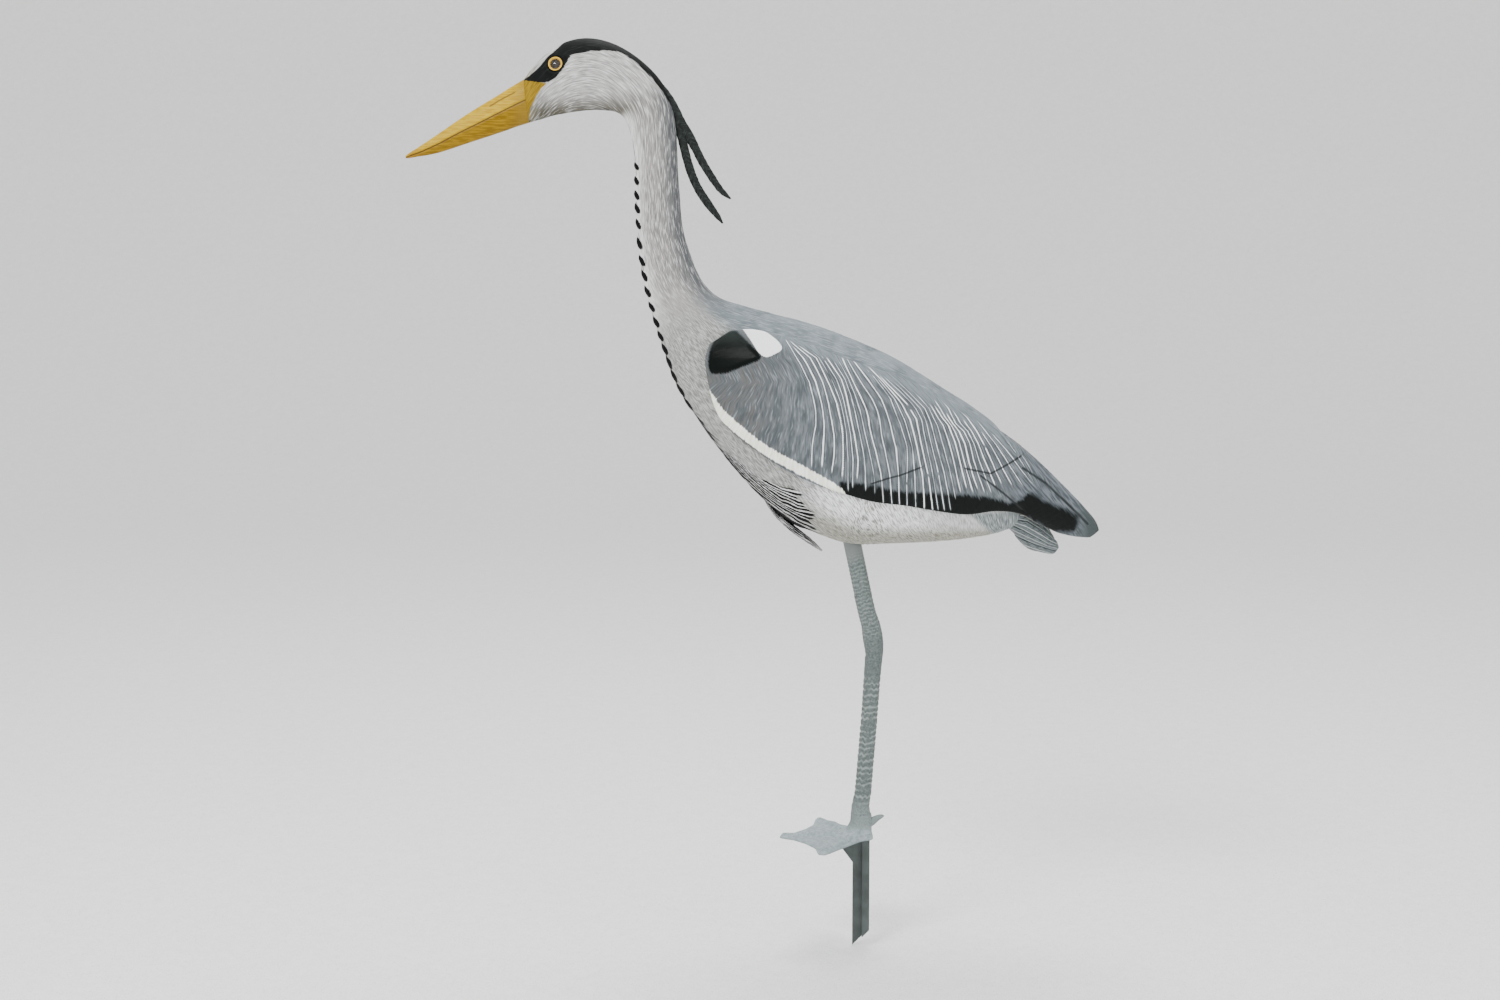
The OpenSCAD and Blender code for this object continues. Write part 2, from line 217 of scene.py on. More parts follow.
def rib_points(rows, angles, grow):
    """Points on the ribs' ovals, on the +Y side; the angle is 0 at the back and pi in front."""
    back = rows[:, None, 0:2]
    front = rows[:, None, 2:4]
    span = back - front
    half = np.linalg.norm(span, axis=2) / 2
    reach = (half + grow) * np.cos(angles)
    mid = (back + front) / 2
    up = span / (2 * half[..., None])
    y = (rows[:, None, 4] + grow) * np.sin(angles)
    return np.stack([mid[..., 0] + up[..., 0] * reach, y, mid[..., 1] + up[..., 1] * reach], axis=-1)


def grid_normals(points):
    du = np.gradient(points, axis=0)
    dv = np.gradient(points, axis=1)
    n = np.cross(du, dv)
    return n / np.maximum(np.linalg.norm(n, axis=2, keepdims=True), 1e-9)


def run_along(points, axis):
    """Distance run over a grid of points, from 0 at the start of the axis."""
    hops = np.linalg.norm(np.diff(points, axis=axis), axis=2)
    start = np.zeros_like(hops.take([0], axis=axis))
    return np.concatenate([start, np.cumsum(hops, axis=axis)], axis=axis)


def turns(count):
    """Angles once round, as one row."""
    return np.linspace(0, 2 * math.pi, count, endpoint=False)[None, :]


def sweep(centres, widths, heights, count, ahead=None):
    """Ovals of the given half sizes round a path in the middle plane."""
    if ahead is None:
        ahead = np.gradient(centres, axis=0)
    ahead = ahead / np.linalg.norm(ahead, axis=1, keepdims=True)
    side = np.stack([-ahead[:, 2], 0 * ahead[:, 0], ahead[:, 0]], axis=1)
    across = np.array([0.0, 1.0, 0.0])
    w = widths[:, None] * np.cos(turns(count))
    h = heights[:, None] * np.sin(turns(count))
    return centres[:, None, :] + side[:, None, :] * w[..., None] + across * h[..., None]


def closed_tube(rings, n):
    """Quads round rings of n points each, and a flat cap on each end."""
    i = (np.arange(rings - 1) * n)[:, None]
    j = np.arange(n)[None, :]
    k = (j + 1) % n
    quads = np.stack([i + j, i + n + j, i + n + k, i + k], axis=-1).reshape(-1, 4)
    last = (rings - 1) * n
    caps = [list(range(n)), [last + k for k in range(n - 1, -1, -1)]]
    return quads.tolist() + caps


def build(name, points, attrs=None, faces=None, flip=False):
    """Mesh object from points in mm, with smooth shading and per-point numbers.

    Points given as rings make a closed tube, and each number is spread over them all."""
    points = np.asarray(points, float)
    grid = points.shape[:-1]
    faces = faces or closed_tube(*grid)
    if flip:
        faces = [f[::-1] for f in faces]
    mesh = bpy.data.meshes.new(name)
    mesh.from_pydata((points.reshape(-1, 3) * MM).tolist(), [], faces)
    mesh.validate()
    mesh.polygons.foreach_set("use_smooth", [True] * len(mesh.polygons))
    for key, values in (attrs or {}).items():
        layer = mesh.attributes.new(key, "FLOAT", "POINT")
        layer.data.foreach_set("value", np.broadcast_to(values, grid).astype(np.float32).ravel())
    obj = bpy.data.objects.new(name, mesh)
    bpy.context.scene.collection.objects.link(obj)
    return obj


def mirrored(points):
    out = np.array(points)
    out[..., 1] *= -1
    return out


def picks(count, of):
    """Evenly spread places among the outer points, from the last to the first."""
    return np.linspace(0, of - 1, count).round().astype(int)[::-1]


def closed_skin(name, side, outer, inner, keep, attrs, bare):
    """A skin closed round its inner face, mirrored for the left side.

    The inner face carries the outer one's numbers at keep, less what bare says."""
    full = {}
    for key, field in attrs.items():
        field = np.broadcast_to(field, outer.shape[:2])
        full[key] = np.concatenate([field, field[:, keep] - bare.get(key, 0)], axis=1)
    ring = np.concatenate([outer, inner], axis=1)
    return build(name, ring if side > 0 else mirrored(ring), full, flip=side < 0)


# --- Paint ---


def srgb(r, g, b):
    """Linear colour from 0..255 screen values."""
    out = []
    for v in (r / 255, g / 255, b / 255):
        out.append(v / 12.92 if v <= 0.04045 else ((v + 0.055) / 1.055) ** 2.4)
    return tuple(out)


class Paint:
    """A node material put together one call at a time.

    Colours are 0..255 screen values. A part of a mix, a layer or a product is a number, a
    socket, or (value, low, high), which stands for the edge between low and high."""

    def __init__(self, name, specular):
        self.material = bpy.data.materials.new(name)
        self.material.use_nodes = True
        self.tree = self.material.node_tree
        self.shader = self.tree.nodes["Principled BSDF"]
        self.shader.inputs["Specular IOR Level"].default_value = specular

    def node(self, kind, **settings):
        out = self.tree.nodes.new(kind)
        for key, value in settings.items():
            setattr(out, key, value)
        return out

    def plug(self, socket, value):
        """Feed a socket from another one, a colour or a number; in a colour it is a linear grey."""
        if isinstance(value, bpy.types.NodeSocket):
            self.tree.links.new(value, socket)
        elif isinstance(value, tuple):
            socket.default_value = (*srgb(*value), 1.0)
        elif socket.type == "RGBA":
            socket.default_value = (value, value, value, 1.0)
        else:
            socket.default_value = value

    def number(self, name):
        return self.node("ShaderNodeAttribute", attribute_name=name).outputs["Fac"]

    def numbers(self, *names):
        return [self.number(name) for name in names]

    def place(self):
        """Position in mm in the piece's own frame."""
        coords = self.node("ShaderNodeTexCoord").outputs["Object"]
        scaled = self.node("ShaderNodeVectorMath", operation="SCALE")
        self.plug(scaled.inputs[0], coords)
        scaled.inputs["Scale"].default_value = 1 / MM
        return scaled.outputs[0]

    def axis(self, letter):
        """One coordinate of the place."""
        out = self.node("ShaderNodeSeparateXYZ")
        self.plug(out.inputs[0], self.place())
        return out.outputs[letter]

    def join(self, x, y=0.0, z=0.0):
        out = self.node("ShaderNodeCombineXYZ")
        for socket, value in zip(out.inputs, (x, y, z)):
            self.plug(socket, value)
        return out.outputs[0]

    def calc(self, operation, *values):
        out = self.node("ShaderNodeMath", operation=operation)
        for socket, value in zip(out.inputs, values):
            self.plug(socket, value)
        return out.outputs[0]

    def plus(self, a, b):
        return self.calc("ADD", a, b)

    def minus(self, a, b):
        return self.calc("SUBTRACT", a, b)

    def size(self, value):
        return self.calc("ABSOLUTE", value)

    def edge(self, value, low, high):
        """0 where value is at low, 1 where it is at high, smooth between."""
        out = self.node("ShaderNodeMapRange", interpolation_type="SMOOTHSTEP")
        self.plug(out.inputs["Value"], value)
        self.plug(out.inputs["From Min"], low)
        self.plug(out.inputs["From Max"], high)
        return out.outputs["Result"]

    def noise(self, vector, scale=1.0, detail=2.0, rough=0.5):
        out = self.node("ShaderNodeTexNoise")
        self.plug(out.inputs["Vector"], vector)
        out.inputs["Scale"].default_value = scale
        out.inputs["Detail"].default_value = detail
        out.inputs["Roughness"].default_value = rough
        return out.outputs["Fac"]

    def chance(self, vector):
        out = self.node("ShaderNodeTexWhiteNoise")
        self.plug(out.inputs["Vector"], vector)
        return out.outputs["Value"]

    def mix(self, part, a, b):
        out = self.node("ShaderNodeMix", data_type="RGBA")
        self.plug(out.inputs[0], self.all_of(part))
        self.plug(out.inputs[6], a)
        self.plug(out.inputs[7], b)
        return out.outputs[2]

    def all_of(self, *values):
        """The product of the values."""
        parts = [self.edge(*value) if isinstance(value, tuple) else value for value in values]
        out = parts[0]
        for part in parts[1:]:
            out = self.calc("MULTIPLY", out, part)
        return out

    def layer(self, tone, *parts):
        """Lay a colour over what is there, as far as all the parts let it."""
        self.colour = self.mix(self.all_of(*parts), self.colour, tone)

    def frayed(self, value, noise, reach):
        """The value pushed to and fro by the noise, to roughen an edge."""
        return self.plus(value, self.all_of(self.minus(noise, 0.5), reach))

    def strokes(self, along, across, length, width, shift=0.0, detail=2.0):
        """Noise drawn out into strokes, 0..1."""
        vector = self.join(self.calc("DIVIDE", along, length), self.calc("DIVIDE", across, width), shift)
        return self.noise(vector, 1.0, detail, 0.55)

    def finish(self, rough, height=None, strength=0.3, depth=0.4):
        self.plug(self.shader.inputs["Base Color"], self.colour)
        self.plug(self.shader.inputs["Roughness"], rough)
        if height is not None:
            bump = self.node("ShaderNodeBump")
            bump.inputs["Strength"].default_value = strength
            bump.inputs["Distance"].default_value = depth * MM
            self.plug(bump.inputs["Height"], height)
            self.plug(self.shader.inputs["Normal"], bump.outputs[0])
        return self.material


def wear(obj, material):
    obj.data.materials.clear()
    obj.data.materials.append(material)


def put(obj, body, material, node):
    """Paint the piece, let it ride on its body, and hide the CAD node that it stands in for."""
    wear(obj, material)
    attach(obj, body)
    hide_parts(node)


# --- Painted lines and patches on the body, side view x and z ---

STRIPE = [
    (-340, 759.5), (-326, 758), (-311, 758.5), (-302.5, 763), (-295, 771.5), (-289.5, 781.5),
    (-284, 785.5), (-268, 788), (-250, 788.5), (-236, 785), (-216, 769), (-201, 751.5),
    (-191, 734.5), (-186, 720), (-184.5, 706), (-178, 708), (-175, 740), (-195, 790),
    (-230, 806), (-268, 812), (-288, 806), (-299, 793.5), (-311, 782), (-321, 771.5), (-331, 763.5),
]
GAPE = [
    (-345, 762), (-311, 757.5), (-317, 753), (-322, 745), (-328, 734), (-331.5, 718), (-345, 712),
]
MARKS = [
    (678, 0.8), (664, 0.9), (650, 1.0), (637, 1.05), (622, 1.0), (603, 1.1), (586, 1.0), (571, 1.05),
    (555, 1.1), (540, 1.0), (525, 1.15), (511, 1.1), (498, 1.2), (485, 1.35), (472, 1.4), (458, 1.5),
    (444, 1.5),
]
BREAST = [
    [(-148, -418), (-134, -408), (-121, -398), (-108, -391), (-92, -385), (-72, -381)],
    [(-140, -404), (-128, -392), (-112, -384), (-102, -377), (-92, -371), (-82, -367), (-72, -367)],
    [(-136, -400), (-116, -383), (-109, -375), (-94, -366), (-82, -361), (-67, -357), (-57, -354)],
    [(-136, -398), (-122, -387), (-113, -376), (-98, -365), (-83, -356), (-67, -349), (-50, -346)],
    [(-136, -396), (-126, -385), (-113, -372), (-98, -360), (-82, -348), (-67, -343), (-49, -339)],
    [(-137, -393), (-129, -383), (-109, -364), (-96, -354), (-80, -343), (-64, -335), (-50, -329)],
    [(-138, -389), (-119, -366), (-100, -351), (-82, -339), (-69, -330), (-56, -323), (-46, -318)],
    [(-137, -383), (-119, -358), (-99, -337), (-75, -318), (-41, -298)],
]


def body_half(side, word):
    """Painted outer skin of one half, closed round its inside, with the leg's hole."""
    rows, run = evenly(through(HEAD + NECK + TRUNK, 30), 1.45)
    # The belly edge stops where the leg's hole is.
    probe = np.linspace(math.pi / 2, math.pi, 400)
    at = rib_points(rows, probe[None, :], 0) - KNEE
    off = at - (at @ UP_LEG)[..., None] * UP_LEG
    clear = np.linalg.norm(off, axis=2) > LEG_HOLE_RADIUS
    stop = np.where(clear.all(axis=1), math.pi, probe[np.argmin(clear, axis=1)])
    outer_n = 140
    angles = np.linspace(0, 1, outer_n)[None, :] * stop[:, None]
    skin = rib_points(rows, angles, 0)
    x, z = skin[..., 0], skin[..., 2]
    wrap = run_along(skin, 1)
    flow = run_along(skin, 0)
    span = run[:, None]
    to_front = wrap[:, -1:] - wrap

    stripe = area_depth(x, z, rounded(STRIPE))
    marks = np.full(x.shape, -9.0)
    lift = np.zeros(x.shape)
    for height, size in MARKS:
        at = np.interp(-height, -rows[:, 3], run)
        along = (span - at - 0.45 * (to_front - 6.0)) / (4.7 * size)
        across = (to_front - 5.9) / 6.5
        depth = 1 - np.hypot(along, across) - 0.5 * (1 - soft(to_front, 0.2, 1.6))
        marks = np.maximum(marks, depth * 3)
        lift += 1.7 * soft(depth, -0.3, 0.8)
    fan, _ = field_between(BREAST, range(0, 16, 2), x, -z, 60)
    first = 1.7 + 3.0 * soft(-x, 85, 125)
    ends = 12 * (value_noise(fan * 0.9, 0.5, 14) - 0.5)
    spread = soft(x, -150, -128) * (1 - soft(x + 68 - 0.45 * (369 - z) + ends, -7, 5))
    spread *= soft(fan - first, 0, 1.4)
    weave = fan + 0.5 * (value_noise(span / 9, fan * 0.7, 5) - 0.5)
    lift += 0.7 * spread * (0.5 + 0.5 * np.cos(2 * math.pi * weave))
    lift += 0.5 * soft(stripe, -0.6, 0.8)
    barbs = value_noise(flow / 14, wrap / 2.6, 11) - 0.5
    barbs += 0.6 * (value_noise((flow + wrap) / 12, (flow - wrap) / 3.4, 12) - 0.5)
    lift += 0.42 * barbs * (1 - soft(stripe, -1, 1))
    tuft = hump(x, 17) * hump(z - 333, 26)
    lift += tuft * (2.0 + 0.9 * np.cos((x + (z - 333) * 0.12) * 1.15))
    socket = np.hypot(x - EYE[0], z - EYE[2])
    lift += 0.5 * hump(socket - 9.3, 1.3)
    seam = soft(wrap, 0, 2.5) * soft(to_front, 0, 2.5)
    lift = lift * seam * held(run, 3, 4) - 0.35 * (1 - seam)

    normals = grid_normals(skin)
    outer = skin + normals * lift[..., None]
    # The skin lies in the eye's plane round its cup, and drops into a recess under it.
    plane = EYE[1] - (EYE_WAY[0] * (x - EYE[0]) + EYE_WAY[2] * (z - EYE[2])) / EYE_WAY[1]
    orbit = 1 - soft(socket, 8.5, 14.0)
    outer[..., 1] += orbit * (plane + 0.35 + lift - outer[..., 1])
    outer[..., 1] -= 3.2 * (1 - soft(socket, 6.2, 7.2))
    keep = picks(12, outer_n)
    inner = rib_points(rows, angles[:, keep], -SHELL_WALL)
    near = np.hypot(inner[..., 0] - EYE[0], inner[..., 2] - EYE[2])
    inner[..., 1] -= 4.0 * (1 - soft(near, 8, 14)) * soft(inner[..., 1], 0, 8)
    attrs = dict(
        run=span, flow=flow, wrap=wrap, share=angles / math.pi, front=to_front, stripe=stripe,
        marks=marks, fan=weave, spread=spread, tuft=tuft, gape=area_depth(x, z, GAPE))
    return closed_skin("painted_body_" + word, side, outer, inner, keep, attrs, {})


def body_paint():
    p = Paint("heron body paint", 0.08)
    x, z = p.axis("X"), p.axis("Z")
    run, wrap, flow = p.numbers("run", "wrap", "flow")
    share, front = p.numbers("share", "front")
    long = p.strokes(flow, wrap, 12, 1.25, 0, 1)
    slant = p.plus(flow, p.all_of(wrap, 0.9))
    cross = p.minus(wrap, p.all_of(flow, 0.6))
    diagonal = p.strokes(slant, cross, 12, 1.35, 4, 1)
    patchy = p.noise(p.place(), 0.035, 3)
    # Head and neck: white throat line in front, beige sides, darker grey behind.
    neck = p.mix((share, 0.18, 0.52), (92, 94, 96), (150, 148, 145))
    neck = p.mix((share, 0.62, 0.9), neck, (214, 214, 212))
    # Head: pale above, with a dark olive painted shade on its underside under the jaw.
    head = p.mix((z, 728, 752), (84, 80, 68), (166, 165, 163))
    head = p.mix((x, -318, -334), head, (132, 126, 106))
    p.colour = p.mix((run, 125, 155), head, neck)
    # Trunk: blue-grey back, pale flanks, and a dark olive painted shade along the underside of the belly.
    back = p.mix((patchy, 0.35, 0.65), (94, 103, 108), (118, 127, 132))
    side = p.mix((diagonal, 0.38, 0.56), (164, 166, 164), (238, 240, 240))
    # Dark olive painted shade for the downward-facing underside of the belly.
    belly_shade = p.mix((diagonal, 0.4, 0.6), (104, 101, 86), (150, 148, 134))
    side = p.mix(p.all_of((x, 30, 90), 0.5), side, (150, 152, 148))
    side = p.mix(p.all_of((share, 0.7, 0.82), 0.9), side, belly_shade)
    breast = p.mix((diagonal, 0.4, 0.62), (118, 118, 114), (168, 169, 167))
    side = p.mix((x, -30, -75), side, breast)
    trunk = p.mix((share, 0.3, 0.46), back, side)
    p.layer(trunk, (run, 325, 385))
    stern = p.all_of((p.plus(x, z), 437, 447), (z, 345, 338))
    stern_grey = p.mix((long, 0.4, 0.6), (98, 105, 106), (140, 147, 148))
    p.layer(stern_grey, stern)
    # Feather strokes.
    dark = p.mix(0.7, p.colour, (62, 64, 65))
    pale = p.mix(0.65, p.colour, (236, 238, 238))
    calm = p.minus(0.62, p.all_of((run, 300, 360), 0.4))
    p.layer(dark, (long, 0.47, 0.37), calm)
    p.layer(pale, (long, 0.54, 0.64), calm)
    behind = p.all_of((share, 0.75, 0.5), (run, 130, 170), (run, 350, 300))
    p.layer((66, 68, 69), (diagonal, 0.48, 0.38), behind, 0.55)
    # Black crown stripe, neck marks and breast lines with ragged edges.
    frayed = p.frayed(p.number("stripe"), long, 3.2)
    black = p.mix((long, 0.5, 0.72), (9, 11, 10), (28, 32, 31))
    p.layer(black, (frayed, -0.25, 0.35))
    bill = p.frayed(p.number("gape"), long, 2)
    ochre = p.mix((long, 0.4, 0.6), (112, 88, 18), (146, 118, 26))
    p.layer(ochre, (bill, -0.2, 0.4))
    worn = p.frayed(p.number("marks"), diagonal, 1.2)
    p.layer((8, 9, 9), (worn, -0.1, 0.35))
    fan = p.size(p.minus(p.calc("FRACT", p.number("fan")), 0.5))
    lines = p.frayed(fan, long, 0.35)
    lines = p.minus(lines, p.all_of(p.number("fan"), 0.009))
    spread = p.edge(p.number("spread"), 0.3, 0.7)
    p.layer((10, 11, 11), (lines, 0.26, 0.2), spread)
    p.layer((228, 231, 231), (lines, 0.33, 0.42), spread, 0.85)
    # The keel line: long brush strokes that start narrow under the neck and widen downwards.
    brushed = p.strokes(flow, wrap, 30, 2.6, 9, 1)
    low = p.frayed(front, brushed, 34)
    width = p.plus(1, p.all_of((x, -196, -146), 13))
    keel = p.all_of((p.minus(low, width), 1.6, -0.6), (x, -40, -56))
    p.layer((10, 11, 11), keel)
    tuft = p.all_of((p.number("tuft"), 0.15, 0.6), (diagonal, 0.52, 0.4), 0.6)
    p.layer((112, 110, 100), tuft)
    height = p.plus(long, p.all_of(diagonal, 0.6))
    rough = p.mix(long, 0.5, 0.68)
    return p.finish(rough, height, 0.35, 0.5)


# --- Wings ---

# Guide lines of the long streaks: height, then x.
STREAKS = [
    [(497, -72), (485, -64), (469, -56), (455, -53), (442, -51), (428, -50), (410, -51)],
    [(504, -69), (491, -50), (465, -37), (449, -30), (433, -26), (420, -24), (394, -23)],
    [(492, -41), (471, -26), (456, -21), (433, -16), (420, -13), (396, -9), (384, -9)],
    [(485, -22), (458, -9), (442, -3), (424, 2), (406, 8), (385, 12), (358, 15)],
    [(489, -11), (471, 7), (452, 22), (429, 31), (408, 37), (380, 39), (352, 39)],
    [(484, 1), (460, 25), (447, 37), (433, 46), (398, 54), (382, 58), (353, 63)],
    [(481, 14), (457, 40), (442, 55), (428, 61), (404, 68), (388, 72), (368, 76)],
    [(477, 33), (451, 61), (433, 72), (426, 78), (411, 84), (393, 89), (372, 95)],
    [(466, 57), (441, 79), (427, 85), (420, 92), (409, 97), (393, 101), (383, 105)],
    [(455, 72), (442, 85), (432, 96), (420, 105), (406, 113), (390, 121)],
    [(452, 82), (438, 98), (426, 112), (410, 126), (396, 138)],
    [(445, 97), (430, 117), (417, 134), (404, 146), (383, 157)],
    [(436, 119), (424, 134), (411, 145), (396, 158)],
]
STREAK_NUMBERS = [0, 3, 6, 9, 12, 15, 18, 21, 24, 27, 30, 32, 34]
STREAK_TOP = [(-130, 530), (-82, 511), (-46, 500), (-7, 487), (32, 469), (71, 449), (111, 427), (140, 410),
              (190, 370), (240, 320)]
BAND_TOP = [(-60, 392), (-24, 373), (2, 370), (25, 368), (64, 362), (113, 361), (131, 366), (148, 369),
            (171, 357), (202, 342), (222, 327), (240, 316)]
BLACK_BAND = [
    (-26, 374), (2, 372), (31, 366), (64, 364), (99, 361), (126, 356), (140, 352), (150, 355),
    (158.5, 360), (166, 357), (173, 352), (186, 346), (200, 339.5), (210, 332), (207, 321), (193, 321),
    (179, 325), (165, 334), (153, 338), (128, 337), (96, 339), (65, 342), (31, 345), (8, 349), (-26, 362),
]
CREAM_BAND = [
    (-156, 462), (-149, 457), (-138, 442), (-121, 427), (-100, 411), (-73, 396), (-46, 382),
    (-24, 368), (-22, 360), (-46, 372), (-73, 385), (-100, 400), (-121, 415), (-140, 430), (-156, 444),
]
SHOULDER = [
    (-127, 517), (-141, 514), (-150, 506), (-154, 491), (-152, 478), (-139, 476.5), (-121, 483),
    (-103, 491), (-112, 503),
]
WHITE_PATCH = [
    (-122, 519), (-110, 521), (-98, 515), (-86, 506), (-83, 499), (-90, 494.5), (-98, 492), (-105, 496),
    (-113, 507),
]
FEATHER_EDGES = [
    [(94, 387), (119, 381), (150, 394)],
    [(4, 374), (19, 379), (31, 382), (50, 389)],
    [(110, 379), (134, 361), (152, 346)],
    [(152, 383), (176, 367), (205, 340), (220, 326)],
]


def line_distance(x, z, line):
    """Distance in mm to an open line, negative above it."""
    a = np.asarray(line, float)
    best = np.full(x.shape, 1e9)
    sign = np.ones(x.shape)
    for p, q in zip(a[:-1], a[1:]):
        off, _ = off_segment(x, z, p, q)
        turn = (q - p)[0] * (z - p[1]) - (q - p)[1] * (x - p[0])
        sign = np.where(off < best, np.where(turn > 0, -1.0, 1.0), sign)
        best = np.minimum(best, off)
    return best * sign


def wing(side, word):
    """Feathered wing cover with a rounded rim and raised streaks."""
    rows, run = evenly(through(WING, 30), 0.95)
    start = np.arccos(1 - 2 * rows[:, 5])
    end = np.arccos(1 - 2 * rows[:, 6])
    outer_n = 150
    angles = start[:, None] + (end - start)[:, None] * np.linspace(0, 1, outer_n)[None, :]
    skin = rib_points(rows, angles, 0.8)
    wrap = run_along(skin, 1)
    x, z = skin[..., 0], skin[..., 2]
    length = run[:, None]
    rim = np.minimum(np.minimum(wrap, wrap[:, -1:] - wrap), np.minimum(length, run[-1] - length))
    swell = np.sqrt(np.clip(1 - (1 - np.clip(rim / 3.6, 0, 1)) ** 2, 0, 1))
    lift = 0.6 + 3.0 * swell

    streak, gap = field_between(STREAKS, STREAK_NUMBERS, z, x)
    fall = below_line(x, z, STREAK_TOP)
    to_band = -below_line(x, z, BAND_TOP)
    wander = streak + 0.42 * (value_noise(streak * 0.5, z / 34, 21) - 0.5)
    nearest = np.round(wander)
    off = (wander - nearest) * gap * 0.85
    luck = np.random.default_rng(3).random(80)
    chance = luck[np.clip(nearest.astype(int) + 20, 0, 79)]
    alive = soft(fall, 2 + 9 * chance, 8 + 12 * chance) * soft(streak, -1.2, -0.4)
    alive *= soft(to_band, -8, 4) * (1 - soft(x, 150, 175))
    lift += 0.55 * alive * hump(off, 0.85)
    cream = area_depth(x, z, rounded(CREAM_BAND))
    black = area_depth(x, z, rounded(BLACK_BAND))
    shoulder = area_depth(x, z, rounded(SHOULDER))
    white = area_depth(x, z, rounded(WHITE_PATCH))
    lift += 0.9 * soft(shoulder, -1, 5) + 0.55 * soft(cream, -1, 1.5) + 0.4 * soft(white, -0.5, 1)
    lift -= 0.5 * soft(black, -1.2, 0.6)
    edge = np.full(x.shape, 99.0)
    for line in FEATHER_EDGES:
        away = line_distance(x, z, line)
        edge = np.where(np.abs(away) < np.abs(edge), away, edge)
        lift -= 0.5 * soft(away, -0.8, 0.8) * (1 - soft(away, 1.0, 12))
    tip = soft(x, 120, 150)
    ribs = value_noise(wrap / 7.0, length / 70, 31)
    lift += 0.8 * tip * (ribs - 0.5)
    barbs = value_noise(streak * gap / 1.9, z / 11, 8) - 0.5
    lift += 0.4 * barbs * (1 - soft(shoulder, -1, 1)) * soft(rim, 0.5, 3)
    ring_line = line_distance(x, z, rounded(SHOULDER + SHOULDER[:1], 4))
    lift += 0.35 * hump(ring_line - 2.6, 1.1) * soft(rim, 0.5, 2)

    normals = grid_normals(skin)
    outer = skin + normals * lift[..., None]
    keep = picks(14, outer_n)
    attrs = dict(
        streak=wander, gap=gap, fall=fall, to_band=to_band, cream=cream, black=black,
        shoulder=shoulder, white=white, edge=np.clip(edge, -20, 20), rim=rim)
    # Inside, the numbers lie far outside every painted patch and line.
    bare = dict(streak=99, cream=400, black=400, shoulder=400, white=400, edge=60)
    return closed_skin("painted_wing_" + word, side, outer, skin[:, keep], keep, attrs, bare)


